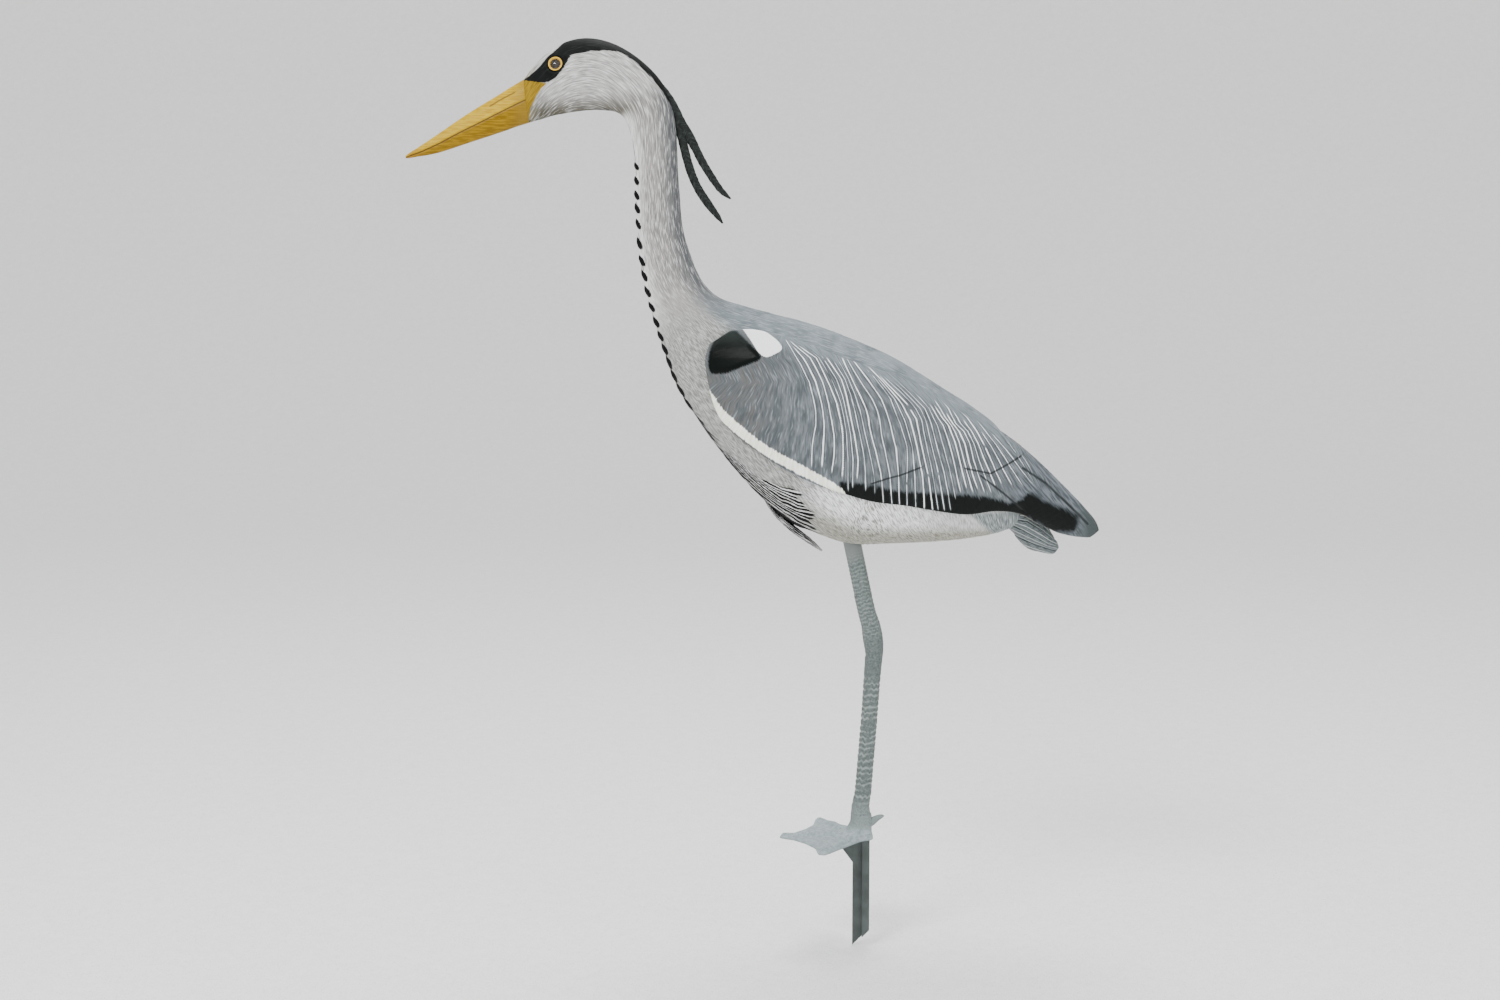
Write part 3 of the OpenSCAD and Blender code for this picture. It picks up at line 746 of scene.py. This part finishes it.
def wing_paint():
    p = Paint("heron wing paint", 0.09)
    x, z = p.axis("X"), p.axis("Z")
    streak, fall, to_band = p.numbers("streak", "fall", "to_band")
    cream = p.number("cream")
    across = p.all_of(streak, 4.6)
    fine = p.strokes(z, across, 13, 1.2, 0, 1)
    coarse = p.strokes(z, across, 24, 3.6, 3)
    p.colour = p.mix((coarse, 0.38, 0.62), (80, 86, 90), (104, 110, 115))
    brown = p.all_of((x, -60, -120), (coarse, 0.35, 0.6), 0.7)
    p.layer((84, 81, 77), brown)
    p.layer((118, 127, 132), (fall, 16, 2), 0.8)
    p.layer((62, 66, 68), (fine, 0.48, 0.36), 0.5)
    p.layer((150, 160, 166), (fine, 0.57, 0.7), 0.4)
    # Wing tip: dark under the feather edges, greyer above and at the very end.
    tip = p.edge(x, 128, 168)
    tipped = p.mix((fine, 0.4, 0.6), (70, 76, 80), (106, 113, 119))
    p.layer(tipped, tip)
    inked = p.frayed(p.number("black"), fine, 9)
    p.layer(p.mix(fine, (5, 7, 6), (18, 22, 21)), (inked, -2.6, 2.4))
    p.layer((66, 73, 73), (x, 206, 226))
    # Raised streaks, dry-brushed: each line has its own width, start and breaks.
    line = p.calc("ROUND", streak)
    luck = p.chance(p.join(line, 0.37, 0))
    luck_2 = p.chance(p.join(line, 7.1, 0))
    off = p.all_of(p.size(p.minus(streak, line)), p.number("gap"))
    width = p.plus(0.1, p.all_of(luck, 0.4))
    drawn = p.frayed(off, fine, -0.9)
    body = p.edge(p.minus(drawn, width), 0.25, -0.1)
    starts = p.plus(0.5, p.all_of(luck_2, 7))
    begun = p.edge(p.minus(fall, starts), 0, 3)
    breaks = p.noise(p.join(p.all_of(line, 3.7), p.calc("DIVIDE", z, 13), 0), 1, 1)
    whole = p.edge(breaks, 0.26, 0.33)
    ends = p.edge(p.plus(to_band, p.all_of(luck, -14)), -8, -3)
    crossing = p.all_of((streak, 8.5, 9.5), (streak, 18.6, 17.6), (to_band, -16, -12))
    ends = p.calc("MAXIMUM", ends, crossing)
    inside = p.all_of((streak, -0.7, -0.4), (x, 168, 150), (cream, 1, -1))
    mask = p.all_of(body, begun, whole, ends, inside)
    p.layer(p.mix(luck, (222, 232, 238), (250, 252, 253)), mask)
    # Painted shadow in dark grey beside each raised streak.
    streak_shadow = p.all_of((off, 2.4, 0.9), (mask, 0.4, 0), begun, whole, ends, inside, 0.4)
    p.layer((58, 61, 63), streak_shadow)
    # Cream band, shoulder patch and white patch.
    feathered = p.frayed(cream, fine, 3.4)
    creamy = p.mix((fine, 0.4, 0.65), (236, 236, 220), (255, 255, 250))
    p.layer(creamy, (feathered, -0.4, 0.9))
    glossy = p.edge(p.frayed(p.number("shoulder"), fine, 5), -1, 1.4)
    # The glossy black shoulder patch grows lighter towards its top as a painted sheen.
    p.layer(p.mix((z, 498, 520), (5, 10, 8), (30, 38, 36)), glossy)
    whites = p.edge(p.frayed(p.number("white"), fine, 1.6), -0.1, 0.5)
    p.layer((246, 248, 248), whites)
    # Painted shade: dark lines in the creases under the edges where feathers overlap.
    overlap_shade = p.edge(p.size(p.minus(p.number("edge"), 0.5)), 1.4, 0.4)
    p.layer((34, 37, 37), overlap_shade, 0.85)
    # Painted highlight: a pale warm line along the rounded rim of the wing tip.
    rim = p.all_of((p.number("rim"), 1.8, 0.6), (x, 140, 160))
    p.layer((150, 142, 118), rim, 0.6)
    rough = p.mix(glossy, p.mix(fine, 0.46, 0.62), 0.28)
    height = p.plus(fine, p.all_of(coarse, 0.5))
    return p.finish(rough, height, 0.35, 0.5)


# --- Tail and bill ---


def tail():
    rows, run = evenly(through(TAIL, 24), 0.8)
    skin = rib_points(rows, turns(180), 0)
    x, z = skin[..., 0], skin[..., 2]
    flow, _ = field_between(
        [[(100, -350), (130, -337), (160, -330), (178, -318), (195, -304)],
         [(107, -336), (134, -331), (158, -320), (183, -305), (196, -300)],
         [(107, -328), (146, -315), (179, -302), (196, -296)],
         [(107, -318), (140, -305), (172, -294), (196, -288)]],
        [0, 1, 2, 3], x, -z)
    steps = flow - np.floor(flow)
    lift = 0.9 * (soft(steps, 0, 0.12) - steps)
    lift += 0.3 * (value_noise(flow * 5, run[:, None] / 7, 41) - 0.5)
    lift *= soft(run, 2, 8)[:, None] * (1 - soft(run, run[-1] - 2, run[-1]))[:, None]
    outer = skin + grid_normals(skin) * lift[..., None]
    return build("painted_tail", outer, {"flow": flow, "run": run[:, None]})


def tail_paint():
    p = Paint("heron tail paint", 0.15)
    flow, run = p.numbers("flow", "run")
    fine = p.strokes(run, p.all_of(flow, 10), 5, 0.8)
    step = p.calc("FRACT", flow)
    p.colour = p.mix((fine, 0.36, 0.66), (66, 73, 74), (112, 120, 121))
    p.layer((36, 40, 40), (step, 0.16, 0.04), 0.75)
    p.layer((170, 177, 178), (step, 0.86, 0.97), 0.7)
    shaft = p.edge(p.size(p.minus(step, 0.52)), 0.05, 0.02)
    p.layer((205, 210, 210), shaft, 0.6)
    return p.finish(p.mix(fine, 0.5, 0.66), fine, 0.3, 0.4)


MOUTH = [(-452, 686.3), (-435, 692.3), (-418, 700), (-398, 710.5), (-378, 720), (-358, 730), (-340, 738.5),
         (-328, 744)]
NOSTRIL = [(-368, 736), (-356, 743), (-344, 749)]


def bill():
    rows, run = evenly(through(BILL, 24), 0.8)
    skin = rib_points(rows, turns(132), 0)
    x, z = skin[..., 0], skin[..., 2]
    mouth = line_distance(x, z, MOUTH)
    nostril = line_distance(x, z, NOSTRIL)
    side = soft(np.abs(skin[..., 1]), 0.4, 1.4)
    groove = 0.75 * hump(mouth, 0.75) + 0.7 * hump(nostril, 0.9)
    lift = -groove * side + 0.35 * hump(np.abs(mouth) - 2.0, 1.0) * side
    lift += 0.14 * (value_noise(x / 9, z / 1.6, 51) - 0.5)
    lift *= held(run, 2, 4)
    outer = skin - grid_normals(skin) * lift[..., None]
    return build("painted_bill", outer, {"mouth": mouth, "nostril": nostril}, flip=True)


def bill_paint():
    p = Paint("heron bill paint", 0.1)
    x, z = p.axis("X"), p.axis("Z")
    mouth = p.number("mouth")
    streaks = p.strokes(x, z, 14, 1.2)
    upper = p.mix((streaks, 0.4, 0.62), (164, 130, 14), (188, 156, 30))
    lower = p.mix((streaks, 0.4, 0.62), (114, 86, 8), (144, 112, 16))
    p.colour = p.mix((mouth, -0.6, 0.6), upper, lower)
    p.layer((128, 102, 36), (x, -352, -334), 0.6)
    p.layer((158, 114, 28), (x, -430, -450), 0.5)
    p.layer((84, 62, 26), (p.size(mouth), 0.9, 0.3))
    nostril = p.edge(p.size(p.number("nostril")), 1, 0.4)
    p.layer((98, 74, 32), nostril, 0.8)
    return p.finish(p.mix(streaks, 0.32, 0.46), streaks, 0.2, 0.25)


# --- Eyes ---


def lathe(name, profile, side):
    """Turned piece whose axis points out of the head; profile is radius and outward depth."""
    profile = through(profile, 5)
    a = turns(96)[..., None]
    along = np.array([EYE_WAY[1], -EYE_WAY[0], 0.0])
    along /= np.linalg.norm(along)
    up = np.cross(along, EYE_WAY)
    r = profile[:, None, :1]
    pts = EYE + r * np.cos(a) * along + r * np.sin(a) * up + profile[:, None, 1:] * EYE_WAY
    if side < 0:
        pts = mirrored(pts)
    return build(name, pts, {"radius": profile[:, :1]}, flip=side < 0)


def eye(side, word):
    profile = [
        (6.6, -4.5), (6.6, -1), (7.4, 0.1), (7.6, 0.7), (7.2, 1.2), (6.5, 1.3), (5.9, 1.0), (5.4, 0.45),
        (5.1, 0.2), (4.4, 0.1), (3.7, 0.0), (3.5, -0.15), (2, -0.15), (0.05, -0.15),
    ]
    return lathe("eye_" + word, profile, side)


def eye_paint():
    p = Paint("heron eye enamel", 0.08)
    speck = p.noise(p.place(), 1.4, 3)
    wobble = p.frayed(p.number("radius"), speck, 0.35)
    ring = p.mix((speck, 0.38, 0.62), (190, 144, 32), (222, 184, 76))
    iris = p.mix((wobble, 3.7, 4.4), (7, 7, 7), (74, 38, 10))
    p.colour = p.mix((wobble, 4.75, 5.05), iris, ring)
    p.layer((16, 16, 14), (wobble, 6.75, 7))
    return p.finish(p.mix(speck, 0.2, 0.3), speck, 0.1, 0.1)


def dome(side, word):
    """Clear cap cut from a ball, set just proud of the eye."""
    radius, high, steps, proud, tip = 5.3, 1.9, 12, 0.3, 0.05
    ball = (radius ** 2 + high ** 2) / (2 * high)
    profile = []
    for k in range(steps, 0, -1):
        t = math.asin(radius / ball) * k / steps
        profile.append((ball * math.sin(t), high - ball * (1 - math.cos(t)) + proud))
    return lathe("eye_dome_" + word, profile + [(tip, high + proud)], side)


def dome_paint():
    p = Paint("clear eye dome", 1)
    haze = p.noise(p.place(), 0.9, 3)
    p.shader.inputs["Alpha"].default_value = 0.3
    p.colour = p.mix(haze, 0.02, 0.05)
    return p.finish(p.mix(haze, 0.03, 0.07))


# --- Plumes ---

CREST = [
    [(-207, 0, 764, 0.8, 1.5), (-198, 0, 751, 3.4, 6), (-190, 0, 737, 4.6, 6), (-183, 0, 722, 5, 4),
     (-175, 0, 709, 4.8, 2.8), (-168, 0, 696, 4.3, 2.5), (-161.5, 0, 683, 4, 2.3), (-153, 0, 669, 3.8, 2),
     (-144, 0, 656, 3.2, 1.8), (-138, 0, 650, 2.2, 1.4), (-133, 0, 646, 0.8, 0.8)],
    [(-200, 0, 752, 1, 1.5), (-193, 0, 738, 4, 4), (-187, 0, 724, 4.8, 3.2), (-182, 0, 710, 4.6, 2.5),
     (-179, 0, 697, 4.3, 2.4), (-175.5, 0, 683, 4.2, 2.3), (-171, 0, 669, 4.2, 2.2),
     (-164.5, 0, 655, 4.1, 2), (-154.5, 0, 640, 3.8, 1.8), (-146, 0, 629, 2.6, 1.4),
     (-141, 0, 622, 0.8, 0.8)],
]
BREAST_PLUME = [
    (-99, 0, 348.5, 1.5, 5), (-88, 0, 334, 3, 9), (-72, 0, 319, 3.5, 8), (-56, 0, 307, 3, 5),
    (-42, 0, 296, 1, 1),
]


def plume_mesh(rows, count, seed):
    """Rings and paint numbers of a barbed plume along a path in the middle plane."""
    fine, run = evenly(through(rows, 24), 0.5, 3)
    run = run[:, None]
    pts = sweep(fine[:, :3], fine[:, 3], fine[:, 4], count)
    across = np.cos(turns(count))
    # Barbs lean towards the tip; their ends nick both edges of the plume.
    lean = run - 3.2 * np.abs(across)
    nick = value_noise(lean / 1.5, seed, seed) - 0.5
    edge = np.abs(across) ** 3
    lift = 0.45 * nick * edge + 0.22 * nick * (1 - edge) + 0.35 * hump(across, 0.16)
    lift *= soft(fine[:, 3:4], 0.8, 2.5)
    pts = pts + grid_normals(pts) * -lift[..., None]
    return pts, {"run": run, "lean": lean, "across": across}


def joined(name, parts):
    """One piece from several closed tubes, each given as its rings and its numbers."""
    points, faces, numbers, base = [], [], {}, 0
    for rings, attrs in parts:
        grid = rings.shape[:2]
        faces += [[base + v for v in f] for f in closed_tube(*grid)]
        points.append(rings.reshape(-1, 3))
        base += len(points[-1])
        for key, value in attrs.items():
            numbers.setdefault(key, []).append(np.broadcast_to(value, grid).ravel())
    numbers = {key: np.concatenate(value) for key, value in numbers.items()}
    return build(name, np.vstack(points), numbers, faces)


def plume_paint(name, pale):
    p = Paint(name, 0.15)
    run, lean, across = p.numbers("run", "lean", "across")
    barbs = p.noise(p.join(p.calc("DIVIDE", lean, 0.9), p.all_of(across, 0.8), 0), 1, 2)
    p.colour = p.mix((barbs, 0.42, 0.68), (15, 18, 17), (46, 53, 50))
    if pale:
        lines = p.strokes(run, p.all_of(across, 6), 18, 0.8)
        p.colour = p.mix((lines, 0.53, 0.6), (26, 28, 27), (214, 216, 214))
        p.layer((140, 142, 140), (run, 42, 62), 0.6)
    return p.finish(p.mix(barbs, 0.42, 0.6), barbs, 0.5, 0.4)


# --- Leg and foot ---

# Lower leg: height, middle x, half depth along X, half width along Y.
SHANK = [
    (250, -0.5, 9, 8.9), (232, 3.8, 9.1, 9), (221, 7.2, 9.6, 9.3), (211, 9, 10.2, 9.7),
    (202, 10.3, 10, 9.6), (192, 11, 9, 9), (172, 9.5, 8.5, 8.3), (140, 7.4, 8.4, 8.2),
    (110, 5.4, 8.4, 8.2), (73, 2.6, 8.4, 8.2), (48, 0.6, 8.5, 8.3), (35, -1.6, 9, 8.6),
    (26, -1.6, 10, 9.2), (21, -1, 10.6, 9.6), (12, -0.5, 5.9, 5.9),
]


def leg():
    n = 112
    rows, down = evenly(through(SHANK, 20), 0.75, 2)
    centre = np.stack([rows[:, 1], 0 * down, rows[:, 0]], axis=1)
    # Above the first row the leg is the straight upper leg, then its spigot.
    up = np.array([
        (204.0, 3.9), (203.4, 4.9), (202.4, 5.7), (201.6, 6.0), (164.0, 6.0), (124.1, 6.0),
        (124.0, 6.1), (123.9, 8.2), (123.3, 8.75), (122.0, 8.8),
    ])
    shaft = np.linspace(121, 50, 95)
    t = np.concatenate([up[:, 0], shaft])
    r = np.concatenate([up[:, 1], LEG_RADIUS + 0.15 * (121 - shaft) / 71])
    top = KNEE + t[:, None] * UP_LEG
    lower = centre[:, 2] < top[-1, 2] - 0.75
    centres = np.vstack([top, centre[lower]])
    half_x = np.concatenate([r, rows[lower, 2]])
    half_y = np.concatenate([r, rows[lower, 3]])
    ahead = np.gradient(centres, axis=0)
    ahead[:len(up)] = -UP_LEG
    pts = sweep(centres, half_x, half_y, n, ahead)
    a = turns(n)
    run = run_along(centres[:, None, :], 0)
    round_mm = a * LEG_RADIUS
    height = centres[:, 2:3]
    # Wavy ridges between the scutes below the knee, pebbled skin on it, loose rings above it.
    wave = 0.9 * np.cos(a + 0.6) + 3.2 * (value_noise(a * 3.2, run / 12, 61) - 0.5)
    scute = (run + wave + 3.4 * (value_noise(run / 9, 1.5, 64) - 0.5)) / 6.2
    step = zigzag(scute)
    patchy = soft(value_noise(np.floor(scute) * 1.7, round_mm / 6, 65), 0.15, 0.6)
    plates = (1 - soft(step, 0.1, 0.62)) * (0.35 + 0.65 * patchy)
    plates *= soft(height, 30, 44) * (1 - soft(height, 156, 176))
    columns = value_noise(run / 2.2, round_mm / 2.4, 62)
    ring = (run + 0.9 * wave + 3.0 * (value_noise(run / 6, 0.5, 63) - 0.5)) / 3.9
    loose = zigzag(ring)
    shank = 1 - soft(height, 196, 216)
    lift = shank * (0.8 * plates + 0.5 * (columns - 0.5)) + (1 - shank) * 0.3 * soft(loose, 0.1, 0.8)
    smooth_top = soft(-(centres - KNEE) @ UP_LEG, -100, -80)[:, None]
    pts = pts + grid_normals(pts) * (lift * smooth_top * soft(height, 14, 24))[..., None] * -1
    attrs = dict(plates=plates, loose=loose, skinned=smooth_top, shank=shank)
    return build("painted_leg", pts, attrs)


def ankle_tone(p, fine):
    """Grey where the leg enters the foot, shared by both: a blend towards the foot's paler colour, which
    is partly painted light.
    """
    return p.mix((fine, 0.4, 0.6), (98, 107, 106), (132, 142, 142))


def leg_paint():
    p = Paint("heron leg paint", 0.2)
    place = p.place()
    z = p.axis("Z")
    grain = p.noise(place, 0.5, 4, 0.6)
    fine = p.noise(place, 2.2, 3)
    p.colour = p.mix((grain, 0.35, 0.65), (77, 86, 84), (102, 112, 110))
    raised = p.mix(p.number("shank"), p.all_of(p.number("loose"), 0.6), p.number("plates"))
    worn = p.plus(raised, p.all_of(p.plus(fine, grain), 0.9))
    p.layer((142, 153, 151), (worn, 0.95, 1.9), 0.7)
    # The lower leg blends into the foot's paler colour, partly painted light on the foot's upward-facing
    # top.
    p.layer(ankle_tone(p, fine), (z, 48, 28))
    speck = p.all_of((fine, 0.52, 0.4), (raised, 0.6, 0.1), 0.5)
    p.layer((64, 72, 70), speck)
    p.colour = p.mix(p.number("skinned"), (120, 126, 124), p.colour)
    return p.finish(p.mix(fine, 0.5, 0.68), fine, 0.35, 0.3)


FOOT_HALF = [
    (10.5, 0), (11, 5), (8, 10), (-3, 17), (-20, 39), (-37, 62), (-41.5, 65.2), (-46, 63), (-47.5, 54),
    (-49, 43), (-53, 34), (-58, 25), (-65, 16), (-71, 9.5), (-79, 5), (-83, 2.4), (-83.8, 0),
]
# Hind toe: x, y, z, half-height, half-width.
HIND_TOE = [
    (6, 0, 15.3, 4.2, 4), (9.5, 0, 17, 4.3, 4), (13, 0, 19.4, 3.6, 3.3),
    (16.5, 0, 21.4, 2.9, 2.6), (20, 0, 22.7, 2, 1.7), (22.3, 0, 22.9, 0.6, 0.6),
]
TOES = np.array([[-41.5, 60.5], [-79, 0], [-41.5, -60.5]])


def foot():
    """Webbed foot: each spoke runs from the collar out over the web, round the edge and under."""
    hub = np.array([-1.0, 0.0])
    half = through(FOOT_HALF, 10)
    lower = mirrored(half[::-1])
    outline = np.vstack([half, lower[1:-1]]) - hub
    bearing = np.unwrap(np.arctan2(outline[:, 1], outline[:, 0]))
    reach = np.hypot(outline[:, 0], outline[:, 1])
    count = 420
    theta = np.linspace(0, 2 * math.pi, count, endpoint=False)
    far = np.interp(theta, bearing, reach, period=2 * math.pi)[:, None]
    cos, sin = np.cos(theta)[:, None], np.sin(theta)[:, None]
    # Collar: from the top of the heel down to the web.
    down = np.linspace(0, 1, 26)[None, :]
    flare = np.minimum(far - 1.2, 21)
    collar_r = 10.4 + 0.9 * down + (flare - 11.3) * down ** 3
    collar_z = 25.5 - 19.5 * down + 0 * far
    out = np.linspace(0, 1, 74)[None, 1:]
    web_r = flare + (far - 1.3 - flare) * out
    x = hub[0] + web_r * cos
    y = hub[1] + web_r * sin
    from_edge = far - web_r
    web = 2.7 + 0.5 * soft(from_edge, 0, 12) + 0 * x
    toe_top = np.zeros(x.shape)
    knuckles = np.zeros(x.shape)
    start = np.array([-2.0, 0.0])
    for toe in TOES:
        off, t = off_segment(x, y, start, toe)
        bulge = 1 + 0.12 * np.cos(2 * math.pi * t * 3.0)
        r = (5.4 - 2.4 * t) * bulge
        top = 2.6 - 0.5 * t + np.sqrt(np.clip(r ** 2 - off ** 2, 0, None)) * 0.95
        toe_top = np.maximum(toe_top, np.where(off < r, top, 0))
        along = t * np.hypot(*(toe - start)) + 0.8 * np.sin(off * 1.1)
        knuckles = np.where(off < r, along / 3.3, knuckles)
    blend = 0.5 * (web + toe_top + np.sqrt((web - toe_top) ** 2 + 1.2))
    rise = (6.0 - blend) * (1 - soft(web_r - flare, 0, 9))
    web_z = blend + rise
    scales = value_noise(x / 1.7, y / 1.7, 71) - 0.5
    notch = knuckles - np.floor(knuckles)
    web_z = web_z + 0.35 * scales + np.where(knuckles > 0, 0.3 * (soft(notch, 0, 0.25) - 1), 0)
    edge_r = np.array([0.9, 0.45, 0.12, 0.0, 0.1, 0.6])[None, :]
    edge_h = np.array([0.86, 0.66, 0.42, 0.24, 0.08, 0.0])[None, :]
    rim_r = far - edge_r
    rim_z = web_z[:, -1:] * edge_h
    under = np.linspace(1, 0, 9)[None, 1:-1]
    under_r = (far - 0.6) * under + 0.2
    under_z = 0 * under_r
    r = np.concatenate([collar_r, web_r, rim_r, under_r], axis=1)
    z = np.concatenate([collar_z, web_z, rim_z, under_z], axis=1)
    pts = np.stack([hub[0] + r * cos, hub[1] + r * sin, z], axis=-1)
    # Rings run round the hub so that the first and last ones can be capped.
    pts = np.swapaxes(pts, 0, 1)
    ridge = np.zeros(r.shape)
    ridge[:, 26:26 + web_r.shape[1]] = knuckles
    web_part = (pts, {"ridge": np.swapaxes(ridge, 0, 1)})
    spur, _ = evenly(through(HIND_TOE, 12), 0.7, 3)
    spur_part = (sweep(spur[:, :3], spur[:, 3], spur[:, 4], 40), {"ridge": 0.0})
    return joined("painted_foot", [web_part, spur_part])


def foot_paint():
    p = Paint("heron foot paint", 0.2)
    place = p.place()
    z = p.axis("Z")
    grain = p.noise(place, 0.25, 3)
    cells = p.node("ShaderNodeTexVoronoi", feature="DISTANCE_TO_EDGE")
    p.plug(cells.inputs["Vector"], place)
    cells.inputs["Scale"].default_value = 0.62
    scale = cells.outputs["Distance"]
    # Pale foot, lighter than the leg: partly its own paint, partly painted light on its upward-facing top.
    p.colour = p.mix((grain, 0.35, 0.65), (136, 148, 150), (158, 170, 172))
    p.layer((84, 94, 95), (scale, 0.12, 0.02), 0.3)
    fine = p.noise(place, 2.2, 3)
    p.layer(ankle_tone(p, fine), (z, 7, 17), 0.95)
    p.layer((110, 120, 120), (z, 2.2, 0.4), 0.5)
    notch = p.calc("FRACT", p.number("ridge"))
    mask = p.all_of((p.number("ridge"), 0.1, 0.3), (notch, 0.16, 0.03), 0.55)
    p.layer((96, 106, 106), mask)
    return p.finish(p.mix(grain, 0.5, 0.65), scale, 0.4, 0.3)


# --- Plain moulded and metal nodes kept from the CAD ---


def plain_paint(name, low, high, rough, metal=0, grit=0.15):
    p = Paint(name, 0.4)
    place = p.place()
    cloud = p.noise(place, 0.064, 3)
    fine = p.noise(place, 0.8, 3)
    p.shader.inputs["Metallic"].default_value = metal
    p.colour = p.mix((cloud, 0.3, 0.7), low, high)
    p.layer((60, 62, 60), (fine, 0.5, 0.32), 0.25)
    spread = p.mix(fine, rough - 0.08, rough + 0.08)
    return p.finish(spread, fine, grit, 0.2)


body_material = body_paint()
wing_material = wing_paint()
eye_material = eye_paint()
dome_material = dome_paint()
for side, word in ((1, "right"), (-1, "left")):
    put(body_half(side, word), "bird", body_material, word + "_body_shell")
    put(wing(side, word), "bird", wing_material, word + "_wing")
    put(eye(side, word), "bird", eye_material, word + "_eye")
    put(dome(side, word), "bird", dome_material, word + "_eye_dome")
put(tail(), "bird", tail_paint(), "tail")
put(bill(), "bird", bill_paint(), "bill")
crest = joined("crest_feathers", [plume_mesh(rows, 48, 5 + k) for k, rows in enumerate(CREST)])
put(crest, "bird", plume_paint("crest paint", False), "crest_plumes")
plume = joined("breast_feathers", [plume_mesh(BREAST_PLUME, 64, 9)])
put(plume, "bird", plume_paint("breast plume paint", True), "breast_plumes")
put(leg(), "leg", leg_paint(), "leg")
put(foot(), "leg", foot_paint(), "foot")

wear(nodes["stake"], plain_paint("stake plastic", (52, 60, 58), (70, 79, 77), 0.5))
wear(nodes["leg_socket"], plain_paint("socket plastic", (72, 78, 80), (88, 94, 96), 0.5))
wear(nodes["socket_screws"], plain_paint("screw zinc", (170, 172, 174), (200, 202, 204), 0.3, 1))
wear(nodes["leg_bush"], plain_paint("bush nylon", (208, 204, 188), (224, 220, 206), 0.4))

# --- Stage, light and camera ---

ground, curve_from, bend = -113, 3000, 2500
sweep_rows = [(-7000, ground), (curve_from, ground)]
for turn in range(5, 90, 5):
    angle = math.radians(turn)
    sweep_rows.append((curve_from + bend * math.sin(angle), ground + bend - bend * math.cos(angle)))
sweep_rows += [(curve_from + bend, ground + bend), (curve_from + bend, 7000)]
floor = build(
    "floor", [(edge, y, z) for y, z in sweep_rows for edge in (-20000, 20000)],
    faces=[(2 * k, 2 * k + 1, 2 * k + 3, 2 * k + 2) for k in range(len(sweep_rows) - 1)])
wear(floor, plain_paint("pale floor", (244, 244, 244), (248, 248, 248), 0.8, grit=0))

world = bpy.data.worlds.new("studio")
bpy.context.scene.world = world
world.use_nodes = True
world.node_tree.nodes["Background"].inputs["Color"].default_value = (1, 1, 1, 1)
world.node_tree.nodes["Background"].inputs["Strength"].default_value = 1.15


def softbox(name, at, aim, size, power):
    data = bpy.data.lights.new(name, "AREA")
    data.shape = "DISK"
    data.size = size
    data.energy = power
    lamp = bpy.data.objects.new(name, data)
    bpy.context.scene.collection.objects.link(lamp)
    lamp.location = at
    way = Vector(aim) - lamp.location
    lamp.rotation_euler = way.to_track_quat("-Z", "Y").to_euler()


softbox("key", (-1.2, -1.8, 2.2), (-0.1, 0, 0.4), 1.0, 62)
softbox("fill", (1.6, -1.4, 1.0), (0, 0, 0.4), 1.4, 12)
softbox("top", (0, 0.6, 2.4), (0, 0, 0.4), 1.0, 34)

camera = bpy.data.objects.new("camera", bpy.data.cameras.new("camera"))
bpy.context.scene.collection.objects.link(camera)
camera.data.lens = 57.6
camera.data.sensor_width = 36
aim_x, aim_z, distance = -0.1141, 0.3472, 2.4
elevation = math.radians(7.5)
camera.location = (aim_x, -distance * math.cos(elevation), aim_z + distance * math.sin(elevation))
camera.rotation_euler = (math.pi / 2 - elevation, 0, 0)
bpy.context.scene.camera = camera
